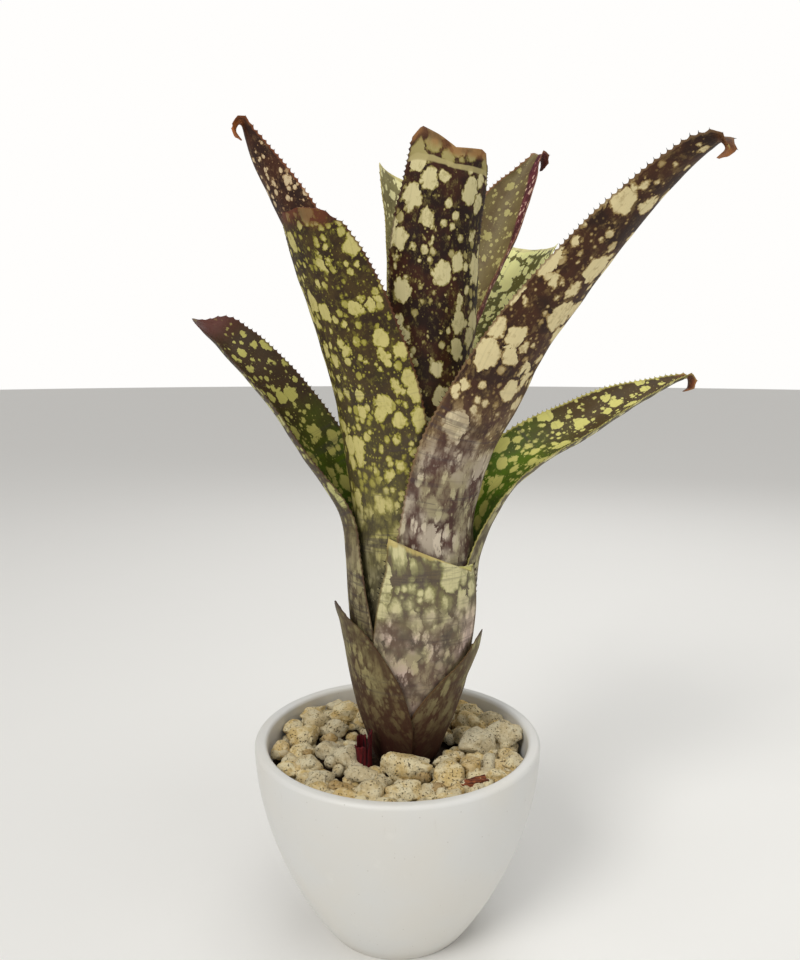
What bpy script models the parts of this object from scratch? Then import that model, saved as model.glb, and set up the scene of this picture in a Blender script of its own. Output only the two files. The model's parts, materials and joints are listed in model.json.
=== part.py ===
"""A potted tank bromeliad: thirteen leaves nested in an upright tube, on a short stem in a plain
tapered pot, with a growing medium and a top dressing of pumice stones.

Metres, +Z up. The origin is the centre of the pot's foot, on the surface that the pot stands on.
The view from the front looks along +Y; +X is to the right.
"""

import math

import bmesh
import bpy
import numpy as np
from mathutils import Matrix, Vector

MM = 0.001

# The pot.
RIM_RADIUS = 0.060
POT_HEIGHT = 0.083
FOOT_RADIUS = 0.0305
POT_WALL = 0.0052
FLOOR_THICKNESS = 0.006
LIP_ROUND = 0.0018
POT_SIDES = 40

# What fills the pot: the medium, and the sockets and clearances of what stands in it.
MEDIUM_BELOW_RIM = 0.0105
SOCKET_DEPTH = 0.0155
FIT_GAP = 0.0004

# The plant. Its axis stands a little off the pot's.
PLANT_X = 0.0043
PLANT_Y = 0.0030
COLLAR_RADIUS = 0.0145
TUBE_RADIUS = 0.0308
LEAF_THICKNESS = 0.00085
LEAF_GAP = 0.0004
LEAF_BASE_BELOW_RIM = 0.009
STEM_LENGTH = 0.062
STEM_SIDES = 24
STEM_FOOT_INSET = 0.002
STEM_CHAMFER = 0.004
STEM_POINT_LENGTH = 0.012
LEAF_FACETS = 10

# The tube of leaf sheaths: height above the lowest leaf base, how far its radius has gone from the
# collar's to the tube's there, and how far its middle has drifted along +X.
TUBE_FORM = (
    (0.000, 0.00, 0.0000),
    (0.010, 0.22, 0.0002),
    (0.020, 0.44, 0.0005),
    (0.030, 0.61, 0.0009),
    (0.042, 0.77, 0.0013),
    (0.056, 0.92, 0.0018),
    (0.071, 1.02, 0.0022),
    (0.086, 1.05, 0.0021),
    (0.101, 1.00, 0.0013),
    (0.121, 1.00, 0.0000),
)

# The blades below are drawn for a tube and a leaf step of these sizes.
DRAWN_TUBE_RADIUS = 0.0308
DRAWN_LEAF_STEP = 0.00125

# Each leaf, from the outermost in. A sheath row is (height mm, half angle deg) round the tube. A
# blade row is (keel's distance out from the tube's own radius mm, sideways mm, height mm, half
# width mm, half arc deg, roll deg, skew). Heights are above the lowest leaf base. A tip gives how
# far the end is drawn out (mm) across the leaf, from one margin (-1) to the other (1).
LEAVES = {
    "leaf_low_left": {
        "azimuth": 200,
        "sheath": ((0, 75), (10, 75), (20, 73), (30, 67), (42, 57)),
        "blade": (
            (0.2, 0, 52, 21, 43, 0, 0),
            (0.9, 0, 60, 15, 29, 0, 0),
            (2.0, 0, 65, 8, 15, 0, 0),
            (2.9, 0, 69.5, 0.8, 6, 0, 0),
        ),
    },
    "leaf_low_right": {
        "azimuth": 342,
        "sheath": ((0, 75), (10, 75), (20, 73), (25, 69), (30, 62), (35.5, 52)),
        "blade": (
            (0.8, 0, 41, 17, 36, 0, 0),
            (1.7, 0, 48, 12, 23, 0, 0),
            (1.6, 0, 53, 6.5, 13, 0, 0),
            (1.8, 0, 56.7, 0.8, 6, 0, 0),
        ),
    },
    "leaf_cut_front": {
        "azimuth": 286,
        "sheath": ((0, 70), (10, 70), (20, 66), (30, 62), (42, 57), (56, 52), (71, 46), (86, 38)),
        "blade": ((0.2, 0, 91, 17.5, 35, 0, 0),),
        "tip": ((-1, 9), (1, -8)),
    },
    "leaf_left_arch": {
        "azimuth": 168,
        "sheath": ((0, 75), (10, 75), (20, 75), (30, 75), (42, 72), (56, 66), (71, 60), (86, 54)),
        "blade": (
            (1.4, 0, 101, 22, 62, 4, 0),
            (9.3, 0, 117.5, 20.5, 64, 12, 0),
            (23.8, 0, 140.5, 18, 66, 20, 0),
            (38.8, 0, 159, 16, 66, 24, 0),
            (50.8, 0, 171.5, 13.5, 64, 24, 0),
            (58.3, 0, 178.5, 10, 54, 22, 0),
            (62.3, 0, 181.2, 4.5, 35, 14, 0),
            (65.3, 0, 183.5, 0.8, 10, 0, 0),
        ),
    },
    "leaf_right_arch": {
        "azimuth": 15,
        "sheath": ((0, 75), (10, 75), (20, 75), (30, 75), (42, 72), (56, 66), (71, 62)),
        "blade": (
            (2.0, 0, 86, 23, 58, 0, 0),
            (5.6, 0, 96, 21.5, 60, -6, 0),
            (13.0, 0, 109.5, 20, 62, -14, 0),
            (30.0, 0, 124, 18.5, 62, -20, 0),
            (52.0, 0, 135.5, 16.5, 60, -20, 0),
            (73.0, 0, 146.3, 13, 58, -16, 0),
            (89.0, 0, 152.6, 8.5, 56, -10, 0),
            (98.7, 0, 156.5, 5, 58, -5, 0),
            (103.0, 0, 157.5, 3.5, 60, 0, 0),
            (103.5, 0, 154.3, 2.6, 40, 0, 0),
            (100.5, 0, 152.5, 0.8, 20, 0, 0),
        ),
    },
    "leaf_right_tall": {
        "azimuth": 318,
        "sheath": ((0, 75), (10, 75), (20, 75), (30, 75), (42, 75), (56, 75), (71, 75), (86, 72)),
        "blade": (
            (1.4, 0, 101, 26.5, 62, 0, 0),
            (5.0, 0.5, 114, 26, 60, 2, 0),
            (9.4, 1, 128, 25, 58, 6, 0),
            (18.2, 1, 145.4, 22.5, 58, 12, 0),
            (29.4, 0, 164.5, 18.5, 58, 18, 0),
            (42.4, 0, 182, 15.5, 58, 22, 0),
            (57.4, 0, 198.5, 12.8, 56, 22, 0),
            (73.4, 0, 214, 10, 54, 20, 0),
            (86.4, 0, 224.7, 7.5, 52, 16, 0),
            (93.9, 0, 229.7, 5.8, 50, 10, 0),
            (98.3, 0, 230.9, 4.5, 50, 0, 0),
            (100.2, 0, 228.2, 3.2, 40, 0, 0),
            (97.5, 0, 226.0, 0.8, 20, 0, 0),
        ),
    },
    "leaf_left_broad": {
        "azimuth": 232,
        "sheath": ((0, 75), (10, 75), (20, 75), (30, 75), (42, 75), (56, 75), (71, 75), (86, 72), (101, 66)),
        "blade": (
            (1.6, 0, 121, 26, 60, 0, 0),
            (6.8, -0.5, 148, 25.5, 56, 0, 0),
            (16.4, -2, 174, 24, 52, 0, 0),
            (25.4, -2.5, 194, 21, 48, 0, 0),
            (31.9, -2, 206.5, 17, 44, 0, 0),
            (35.0, -1.5, 212.5, 13.5, 38, 0, 0),
            (36.7, -1, 215.8, 8.5, 26, 0, 0),
            (37.6, -1, 217.4, 1.5, 8, 0, 0),
        ),
    },
    "leaf_back_right": {
        "azimuth": 45,
        "sheath": ((10, 75), (20, 75), (30, 75), (42, 75), (56, 75), (71, 75), (86, 75), (101, 72)),
        "blade": (
            (2.6, 0, 121, 26, 64, 0, 0),
            (11.6, 0, 144, 25.5, 62, 0, 0),
            (25.6, 0, 167, 24, 60, 0, 0),
            (39.6, 0, 186, 21.5, 56, 0, 0),
            (53.6, -1, 203, 18.5, 50, 0, 0),
            (61.6, -1.5, 212.5, 16.5, 46, 0, 0),
        ),
        "tip": ((-1, 1), (0, -1), (1, 2)),
    },
    "leaf_back_left": {
        "azimuth": 116,
        "sheath": ((10, 75), (20, 75), (30, 75), (42, 75), (56, 75), (71, 75), (86, 75), (101, 72)),
        "blade": (
            (1.8, 0, 121, 24, 60, 0, 0),
            (5.2, 0, 146, 18, 51, 0, -0.25),
            (9.4, 0, 171, 14, 46, 0, -0.25),
            (12.4, 0, 188, 13, 46, 0, -0.3),
            (13.9, 0, 196, 11, 42, 0, -0.2),
        ),
        "tip": ((-1, -6), (0, 2), (1, -6)),
    },
    "leaf_upright_front": {
        "azimuth": 285,
        "sheath": ((20, 75), (30, 75), (42, 75), (56, 75), (71, 75), (86, 75), (101, 66)),
        "blade": (
            (1.5, 2, 126, 20, 58, 0, 0.2),
            (2.8, 3.8, 156, 21, 58, 0, 0.15),
            (5.0, 5.2, 186, 21.5, 58, 0, 0.05),
            (8.0, 6, 214, 20, 54, 0, 0),
            (11.0, 8, 232, 18, 50, 0, 0),
            (12.5, 9, 244.5, 16.5, 46, 0, 0),
        ),
        "tip": ((-1, -1), (-0.8, 3), (-0.4, 0.5), (0, -3), (0.7, -2), (0.9, -3), (1, -7)),
    },
    "leaf_upright_left": {
        "azimuth": 192,
        "sheath": ((20, 75), (30, 75), (42, 75), (56, 75), (71, 75), (86, 75), (101, 66)),
        "blade": (
            (-0.3, -2.5, 131, 19, 60, 0, -0.15),
            (6.2, -3, 161, 19, 58, -6, -0.05),
            (15.2, -1, 189, 19, 58, -14, 0),
            (24.7, 0, 209, 17, 58, -18, 0),
            (34.2, 0, 227.5, 13.5, 56, -20, 0),
            (40.7, 0, 240.5, 9.5, 54, -18, 0),
            (44.2, 0, 248.5, 6.5, 54, -10, 0),
            (46.1, 0, 252.7, 4.6, 54, 0, 0),
            (47.0, 0, 250.9, 3.4, 40, 0, 0),
            (45.2, 0, 247.5, 0.8, 20, 0, 0),
        ),
    },
    "leaf_inner_left": {
        "azimuth": 100,
        "sheath": ((30, 75), (42, 75), (56, 75), (71, 75), (86, 75), (101, 75)),
        "blade": (
            (0.4, -2, 131, 21, 78, 0, 0.1),
            (5.6, -4, 166, 15.5, 66, 0, 0.5),
            (9.0, -6, 196, 14.5, 66, 0, 0.4),
            (10.4, -6, 221, 15.5, 70, 0, 0.1),
            (11.9, -4, 241, 15, 66, 0, 0),
        ),
        "tip": ((-1, -6), (1, 6)),
    },
    "leaf_inner_right": {
        "azimuth": 38,
        "sheath": ((42, 75), (56, 75), (71, 75), (86, 75), (101, 75)),
        "blade": (
            (-0.9, 0, 131, 20, 82, 0, 0),
            (5.6, -1, 158, 18.5, 80, 0, 0),
            (17.6, -1, 182, 15.5, 69, 0, 0),
            (30.1, 0, 202, 15.5, 69, 0, 0.1),
            (40.1, 0, 218, 16, 72, 0, 0.3),
            (47.6, 0, 233, 14, 66, 0, 0.3),
            (53.1, 0, 244, 10, 60, 0, 0.2),
            (56.1, 0, 251, 5.5, 60, 0, 0.1),
            (58.6, 0, 254.5, 3.5, 50, 0, 0),
            (60.1, 0, 252, 2.6, 40, 0, 0),
            (58.8, 0, 248.5, 0.8, 20, 0, 0),
        ),
    },
}

# The stones as laid out in a bed from LAYOUT_COLLAR, round the plant, to LAYOUT_WALL, at the pot:
# (x, y, length, width, turn deg), mm. bed_point carries the layout onto the real bed.
LAYOUT_COLLAR = 0.0178
LAYOUT_WALL = 0.0545
LAYOUT_PLANT = (0.0043, 0.0030)
STONE_HEIGHT_SHARE = 0.68
STONE_WAVES = 5
STONE_DENT = 0.05
STONES = (
    (2, -22, 21, 11, -10),
    (20, -27, 11, 17, 0),
    (30, -20, 9, 11, 0),
    (34, -1, 14, 15, 0),
    (46, 7, 15, 12, 0),
    (29, 10, 12, 9, 20),
    (19, -15, 9, 7, 0),
    (39, -27, 10, 7, 0),
    (49, -13, 7, 6, 0),
    (43, 24, 12, 8, -10),
    (31, 40.5, 11, 6.5, -37),
    (34, 31, 14, 9, 0),
    (-19, -10, 13, 10, 30),
    (-15, -25, 12, 8, -10),
    (-10, -38, 13, 9, -10),
    (3, -39, 13, 9, 0),
    (-29, -5, 10, 9, 0),
    (-41, 9, 13, 10, 10),
    (-42, -4, 7, 7, 0),
    (-39, 31, 14, 7, 50),
    (-27, 15, 11, 10, 20),
    (-24, 32, 15, 11, 20),
    (-28, 41, 9, 8, 0),
    (-47, 17, 8, 10, 0),
    (-50, -4, 8, 9, 0),
    (-45, -21, 9, 7, 0),
    (-36, -18, 9, 10, 0),
    (-32, -33, 10, 8, 20),
    (-22, -36, 10, 6, -20),
    (20, -42, 10, 4, 10),
    (14, 33, 14, 12, 0),
    (-1, 35, 14, 12, 20),
    (-12, 28, 12, 11, 0),
    (4, 46, 14, 10, 0),
    (-10, 45, 14, 10, 0),
    (18, 45, 12, 11, 0),
    (-37, 21, 12, 12, 0),
    (32, 21, 12, 12, 0),
)

# Debris among the stones; BUD and CHIP are where in the layout they stand or lie.
BUD = (-12.5, -17.5)
BUD_RADIUS = 0.0026
BUD_LENGTH = 0.013
CHIP = (29, -33)
CHIP_SIZE = (0.009, 0.0032, 0.0026)
CHIP_TILT = -6
CHIP_TURN = 14
CHIP_ROUND = 0.0005

# Worked out from the sizes above.
LEAF_STEP = LEAF_THICKNESS + LEAF_GAP
LEAF_BASE = POT_HEIGHT - LEAF_BASE_BELOW_RIM
MEDIUM_TOP = POT_HEIGHT - MEDIUM_BELOW_RIM
LEAVES_AT_COLLAR = sum(leaf["sheath"][0][0] == 0 for leaf in LEAVES.values())


def clear_scene():
    for obj in list(bpy.data.objects):
        bpy.data.objects.remove(obj, do_unlink=True)


def make_collection(name):
    collection = bpy.data.collections.new(name)
    bpy.context.scene.collection.children.link(collection)
    return collection


def make_material(name, colour, roughness):
    material = bpy.data.materials.new(name)
    material.use_nodes = True
    shader = material.node_tree.nodes["Principled BSDF"]
    shader.inputs["Base Color"].default_value = (*colour, 1)
    shader.inputs["Roughness"].default_value = roughness
    shader.inputs["Metallic"].default_value = 0
    return material


def finish(obj, name, material, collection):
    """Names an object, gives it its material and moves it to the part's own collection."""
    obj.name = name
    obj.data.name = name
    obj.data.materials.clear()
    obj.data.materials.append(material)
    for owner in list(obj.users_collection):
        owner.objects.unlink(obj)
    collection.objects.link(obj)
    obj.data.shade_smooth()
    return obj


# ---------------------------------------------------------------- turned pieces


def turned(name, outline, sides):
    """A solid turned about Z from an outline that runs from the top of the axis, down its outer
    side, to the bottom of the axis."""
    mesh = bpy.data.meshes.new(name)
    form = bmesh.new()
    points = [form.verts.new((radius, 0, height)) for radius, height in outline]
    for first, second in zip(points, points[1:]):
        form.edges.new((first, second))
    form.to_mesh(mesh)
    form.free()
    obj = bpy.data.objects.new(name, mesh)
    bpy.context.scene.collection.objects.link(obj)
    screw = obj.modifiers.new("turn", "SCREW")
    screw.axis = "Z"
    screw.steps = sides
    screw.render_steps = sides
    screw.use_merge_vertices = True
    screw.merge_threshold = 0.00001
    return obj


def apply_modifiers(obj):
    graph = bpy.context.evaluated_depsgraph_get()
    mesh = bpy.data.meshes.new_from_object(obj.evaluated_get(graph))
    obj.modifiers.clear()
    obj.data = mesh


def pot_radius(height):
    """The pot's outer radius: a foot that swells quickly and then rises almost straight."""
    share = min(max(height / POT_HEIGHT, 0), 1)
    return FOOT_RADIUS + (RIM_RADIUS - FOOT_RADIUS) * (1 - (1 - share) ** 1.91) ** (1 / 1.04)


def bowl_radius(height):
    """The pot's inner radius."""
    return pot_radius(height) - POT_WALL


def make_pot(material, collection):
    outline = [(0, FLOOR_THICKNESS)]
    floor_corner = bowl_radius(FLOOR_THICKNESS) - LIP_ROUND
    outline.append((floor_corner, FLOOR_THICKNESS))
    inside = np.linspace(FLOOR_THICKNESS + LIP_ROUND, POT_HEIGHT - LIP_ROUND, 7)
    outline += [(bowl_radius(height), height) for height in inside]
    crown = POT_HEIGHT - LIP_ROUND
    middle_in = bowl_radius(POT_HEIGHT) + LIP_ROUND
    middle_out = RIM_RADIUS - LIP_ROUND
    for angle in (135, 90):
        turn = math.radians(angle)
        outline.append((middle_in + LIP_ROUND * math.cos(turn), crown + LIP_ROUND * math.sin(turn)))
    for angle in (90, 45):
        turn = math.radians(angle)
        outline.append((middle_out + LIP_ROUND * math.cos(turn), crown + LIP_ROUND * math.sin(turn)))
    for share in (1, 0.84, 0.68, 0.53, 0.39, 0.26, 0.15, 0.07, 0.02):
        height = crown * share
        outline.append((pot_radius(height), height))
    outline.append((FOOT_RADIUS, 0))
    outline.append((0, 0))
    pot = turned("pot", outline, POT_SIDES)
    return finish(pot, "pot", material, collection)


def make_medium(material, collection):
    """Fills the pot to just under the stones, with a socket that holds the foot of the stem."""
    bottom = FLOOR_THICKNESS + FIT_GAP
    socket_floor = MEDIUM_TOP - SOCKET_DEPTH
    outline = [(0, socket_floor), (COLLAR_RADIUS, socket_floor), (COLLAR_RADIUS, MEDIUM_TOP)]
    side = np.linspace(MEDIUM_TOP, bottom + 2 * LIP_ROUND, 5)
    outline += [(bowl_radius(height) - 2 * FIT_GAP, height) for height in side]
    outline.append((bowl_radius(bottom) - 2 * LIP_ROUND, bottom))
    outline.append((0, bottom))
    medium = turned("growing_medium", outline, POT_SIDES)
    apply_modifiers(medium)
    # The socket stands under the plant, so its rings of points move across to it.
    for vertex in medium.data.vertices:
        in_socket = math.hypot(vertex.co.x, vertex.co.y) < COLLAR_RADIUS + FIT_GAP
        if in_socket and vertex.co.z > socket_floor - FIT_GAP:
            vertex.co += Vector((PLANT_X, PLANT_Y, 0))
    return finish(medium, "growing_medium", material, collection)


def make_stem(material, collection):
    """The short stem: a foot in the medium, and a slim core that the leaf bases stand round."""
    foot = MEDIUM_TOP - SOCKET_DEPTH + FIT_GAP
    shoulder = LEAF_BASE - FIT_GAP
    core = COLLAR_RADIUS - LEAVES_AT_COLLAR * LEAF_STEP - FIT_GAP
    top = foot + STEM_LENGTH
    wide = COLLAR_RADIUS - STEM_FOOT_INSET
    outline = [
        (0, top),
        (core * 0.6, top - STEM_POINT_LENGTH / 4),
        (core, top - STEM_POINT_LENGTH),
        (core, shoulder),
        (wide - STEM_FOOT_INSET / 2, shoulder),
        (wide, foot + STEM_CHAMFER),
        (wide - STEM_FOOT_INSET / 2, foot),
        (0, foot),
    ]
    stem = turned("stem", outline, STEM_SIDES)
    stem.location = (PLANT_X, PLANT_Y, 0)
    return finish(stem, "stem", material, collection)


# ---------------------------------------------------------------- leaves


def tube_radius(height):
    """The outer radius of the tube of leaf sheaths, at a height above the lowest leaf base."""
    heights, swell, _ = zip(*TUBE_FORM)
    return COLLAR_RADIUS + (TUBE_RADIUS - COLLAR_RADIUS) * float(np.interp(height, heights, swell))


def tube_middle(height):
    """The middle of the tube, at a height above the lowest leaf base."""
    heights, _, drift = zip(*TUBE_FORM)
    return np.array([PLANT_X + float(np.interp(height, heights, drift)), PLANT_Y, LEAF_BASE + height])


def leaf_axes(azimuth):
    turn = math.radians(azimuth)
    out = np.array([math.cos(turn), math.sin(turn), 0])
    side = np.array([-math.sin(turn), math.cos(turn), 0])
    return out, side


def leaf_rows(leaf, layer):
    """The leaf's rows from base to tip: keel x y z, half width, arc radius, roll, skew, freedom.

    Freedom is 0 on the sheath, whose section stays level, and 1 on the blade.
    """
    out, side = leaf_axes(leaf["azimuth"])
    # A blade grows out of its sheath, so it is as much wider or narrower as the sheath is.
    fit = (TUBE_RADIUS - layer * LEAF_STEP) / (DRAWN_TUBE_RADIUS - layer * DRAWN_LEAF_STEP)
    rows = []
    for height, half_angle in leaf["sheath"]:
        radius = tube_radius(height * MM) - layer * LEAF_STEP
        keel = tube_middle(height * MM) + out * radius
        rows.append([*keel, math.radians(half_angle) * radius, radius, 0, 0, 0])
    for lean, sideways, height, half_width, half_arc, roll, skew in leaf["blade"]:
        distance = tube_radius(height * MM) - layer * LEAF_STEP + lean * MM * fit
        keel = tube_middle(height * MM) + out * distance + side * sideways * MM * fit
        width = half_width * MM * fit
        rows.append([*keel, width, width / math.radians(half_arc), math.radians(roll), skew, 1])
    return np.array(rows)


def directions(keel, side):
    """Along, across and outward directions at each row of the keel."""
    along = np.gradient(keel, axis=0)
    along /= np.linalg.norm(along, axis=1)[:, None]
    across = side - (along @ side)[:, None] * along
    across /= np.linalg.norm(across, axis=1)[:, None]
    return along, across, np.cross(across, along)


def leaf_surface(leaf, layer, columns):
    """The points of the leaf's outer face: rows from base to tip, columns across it."""
    out, side = leaf_axes(leaf["azimuth"])
    rows = leaf_rows(leaf, layer)
    keel, half_width, arc_radius = rows[:, :3], rows[:, 3], rows[:, 4]
    roll, skew, freedom = rows[:, 5, None], rows[:, 6, None], rows[:, 7, None]
    along, across, outward = directions(keel, side)
    outward = (1 - freedom) * out + freedom * outward
    outward /= np.linalg.norm(outward, axis=1)[:, None]
    across, outward = (
        across * np.cos(roll) + outward * np.sin(roll),
        outward * np.cos(roll) - across * np.sin(roll),
    )
    place = np.linspace(-1, 1, columns)
    angle = (half_width / arc_radius)[:, None] * (place + skew)
    sideways = arc_radius[:, None] * np.sin(angle)
    inward = arc_radius[:, None] * (1 - np.cos(angle))
    points = keel[:, None] + across[:, None] * sideways[..., None] - outward[:, None] * inward[..., None]
    if "tip" in leaf:
        drawn = np.interp(place, *zip(*leaf["tip"])) * MM
        points[-1] += along[-1] * drawn[:, None]
    return points


def make_leaf(name, layer, material, collection):
    """A grid laid onto the leaf's outer face, thickened inwards."""
    points = leaf_surface(LEAVES[name], layer, LEAF_FACETS + 1)
    rows, columns = points.shape[:2]
    bpy.ops.mesh.primitive_grid_add(x_subdivisions=columns - 1, y_subdivisions=rows - 1, size=2)
    leaf = bpy.context.object
    for vertex in leaf.data.vertices:
        column = round((vertex.co.x + 1) / 2 * (columns - 1))
        row = round((vertex.co.y + 1) / 2 * (rows - 1))
        vertex.co = points[row, column]
    thick = leaf.modifiers.new("thickness", "SOLIDIFY")
    thick.thickness = LEAF_THICKNESS
    thick.offset = -1
    return finish(leaf, name, material, collection)


# ---------------------------------------------------------------- stones and debris


def reach(start, direction, radius):
    """How far it is from start, along direction, to the circle of this radius round the origin."""
    along = start.dot(direction)
    return -along + math.sqrt(along * along - start.dot(start) + radius * radius)


def bed_point(x, y):
    """Carries a point of the stones' layout onto the bed between the plant and the pot's wall."""
    drawn_plant = Vector(LAYOUT_PLANT)
    offset = Vector((x, y)) - drawn_plant
    distance = offset.length
    direction = offset / distance
    drawn_wall = reach(drawn_plant, direction, LAYOUT_WALL)
    share = (distance - LAYOUT_COLLAR) / (drawn_wall - LAYOUT_COLLAR)
    plant = Vector((PLANT_X, PLANT_Y))
    collar = tube_radius(0.010) + FIT_GAP
    wall = reach(plant, direction, bowl_radius(MEDIUM_TOP) - FIT_GAP)
    return plant + direction * (collar + share * (wall - collar))


def make_stone(number, place, material, collection):
    """A ball pressed to the stone's size, dented with a seeded set of waves and laid in the bed."""
    x, y, length, width, turn = place
    seed = np.random.default_rng(number)
    waves = seed.normal(size=(STONE_WAVES, 3))
    shifts = seed.uniform(0, 2 * math.pi, STONE_WAVES)
    bpy.ops.mesh.primitive_ico_sphere_add(subdivisions=2, radius=0.5)
    stone = bpy.context.object
    height = STONE_HEIGHT_SHARE * math.sqrt(length * width) * MM
    spin = Matrix.Rotation(math.radians(turn), 3, "Z")
    seat = MEDIUM_TOP + FIT_GAP + height / 2
    for vertex in stone.data.vertices:
        unit = vertex.co * 2
        ripple = np.sin(2 * waves @ np.array(unit) + shifts).mean()
        dent = 1 - STONE_DENT * float(1 + ripple)
        point = spin @ Vector((unit.x * length * MM / 2, unit.y * width * MM / 2, 0)) * dent
        spot = bed_point(x * MM + point.x, y * MM + point.y)
        vertex.co = (spot.x, spot.y, seat + unit.z * height / 2 * dent)
    return finish(stone, f"stone_{number:02d}", material, collection)


def make_bud(material, collection):
    """The dried red base of an old side shoot, standing against the foot of the leaf tube."""
    spot = bed_point(BUD[0] * MM, BUD[1] * MM)
    bpy.ops.mesh.primitive_cone_add(
        vertices=12, radius1=BUD_RADIUS, radius2=BUD_RADIUS * 0.6, depth=BUD_LENGTH
    )
    bud = bpy.context.object
    bud.location = (spot.x, spot.y, MEDIUM_TOP + FIT_GAP + BUD_LENGTH / 2)
    return finish(bud, "side_shoot_base", material, collection)


def make_chip(material, collection):
    """A flake of bark lying among the stones near the rim."""
    spot = bed_point(CHIP[0] * MM, CHIP[1] * MM)
    bpy.ops.mesh.primitive_cube_add(size=1)
    chip = bpy.context.object
    chip.data.transform(Matrix.Diagonal((*CHIP_SIZE, 1)))
    chip.location = (spot.x, spot.y, MEDIUM_TOP + CHIP_SIZE[0] / 2)
    chip.rotation_euler = (0, math.radians(CHIP_TILT), math.radians(CHIP_TURN))
    edge = chip.modifiers.new("worn edges", "BEVEL")
    edge.width = CHIP_ROUND
    edge.segments = 1
    return finish(chip, "bark_chip", material, collection)


def main():
    clear_scene()
    part = make_collection("potted_bromeliad")
    ceramic = make_material("satin white pot", (0.80, 0.79, 0.76), 0.45)
    soil = make_material("growing medium", (0.08, 0.055, 0.04), 0.95)
    wood = make_material("stem", (0.12, 0.04, 0.03), 0.7)
    foliage = make_material("spotted leaf", (0.16, 0.14, 0.07), 0.45)
    pumice = make_material("pumice", (0.66, 0.58, 0.42), 0.95)
    dried = make_material("dried red bract", (0.16, 0.02, 0.02), 0.7)
    bark = make_material("bark", (0.18, 0.06, 0.03), 0.9)
    make_pot(ceramic, part)
    make_medium(soil, part)
    make_stem(wood, part)
    for layer, name in enumerate(LEAVES):
        make_leaf(name, layer, foliage, part)
    for number, place in enumerate(STONES, start=1):
        make_stone(number, place, pumice, part)
    make_bud(dried, part)
    make_chip(bark, part)


main()
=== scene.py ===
"""The looks of a potted tank bromeliad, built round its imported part.

The leaves are lofted smooth through the same stations as the part's own, with scalloped, spiny
margins. Metres, +Z up, in the part's frame: the origin is the centre of the pot's foot.
"""

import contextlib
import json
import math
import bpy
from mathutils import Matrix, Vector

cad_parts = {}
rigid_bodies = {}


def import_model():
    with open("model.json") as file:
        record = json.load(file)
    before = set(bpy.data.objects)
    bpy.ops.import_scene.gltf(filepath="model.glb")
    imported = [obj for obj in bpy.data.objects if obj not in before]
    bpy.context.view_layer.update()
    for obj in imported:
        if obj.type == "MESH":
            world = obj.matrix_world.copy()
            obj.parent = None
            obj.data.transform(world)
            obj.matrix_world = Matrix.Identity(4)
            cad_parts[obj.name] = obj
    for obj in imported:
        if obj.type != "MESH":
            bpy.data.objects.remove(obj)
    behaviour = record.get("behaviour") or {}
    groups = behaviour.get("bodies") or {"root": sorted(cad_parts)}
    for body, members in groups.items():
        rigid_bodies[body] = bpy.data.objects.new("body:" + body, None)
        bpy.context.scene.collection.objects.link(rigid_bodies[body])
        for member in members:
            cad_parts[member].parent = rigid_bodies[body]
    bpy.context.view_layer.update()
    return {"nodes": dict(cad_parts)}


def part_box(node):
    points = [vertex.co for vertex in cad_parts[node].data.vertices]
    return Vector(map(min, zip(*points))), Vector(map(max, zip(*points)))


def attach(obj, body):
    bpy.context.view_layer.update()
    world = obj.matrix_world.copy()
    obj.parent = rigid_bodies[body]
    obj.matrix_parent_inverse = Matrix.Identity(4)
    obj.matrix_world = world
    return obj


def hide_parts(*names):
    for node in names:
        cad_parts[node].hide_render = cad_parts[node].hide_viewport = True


bl_info = {
    "name": "Potted bromeliad",
    "version": (1, 0, 0),
    "blender": (4, 5, 0),
    "location": "View3D > Sidebar > Bromeliad",
    "description": "Builds a spotted tank bromeliad in a plain pot with a pumice top dressing",
    "category": "Add Mesh",
}

import bpy
import numpy as np
from bpy.props import FloatProperty, FloatVectorProperty, IntProperty, PointerProperty
from mathutils import Matrix, Vector, noise

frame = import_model()
POT_LOW, POT_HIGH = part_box("pot")
MEDIUM_LOW, MEDIUM_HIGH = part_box("growing_medium")

MM = 0.001
BODY = "root"
DISC = bpy.ops.mesh.primitive_circle_add

# The pot's side: how sharply it rounds in towards the foot, and how straight it is near the rim.
POT_ROUNDING = 1.91
POT_STRAIGHTNESS = 1.04

# The plant's axis and its tube of leaf sheaths, as in the part.
PLANT = (0.0043, 0.0030)
COLLAR_RADIUS = 0.0145
TUBE_RADIUS = 0.0308
LEAF_BASE = 0.074
LEAF_THICKNESS = 0.00085
LEAF_STEP = 0.00125

# The tube of leaf sheaths: height above the lowest leaf base, how far its radius has gone from the
# collar's to the tube's there, and how far its middle has drifted along +X.
TUBE_FORM = (
    (0.000, 0.00, 0.0000), (0.010, 0.22, 0.0002), (0.020, 0.44, 0.0005), (0.030, 0.61, 0.0009),
    (0.042, 0.77, 0.0013), (0.056, 0.92, 0.0018), (0.071, 1.02, 0.0022), (0.086, 1.05, 0.0021),
    (0.101, 1.00, 0.0013), (0.121, 1.00, 0.0000),
)

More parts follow.
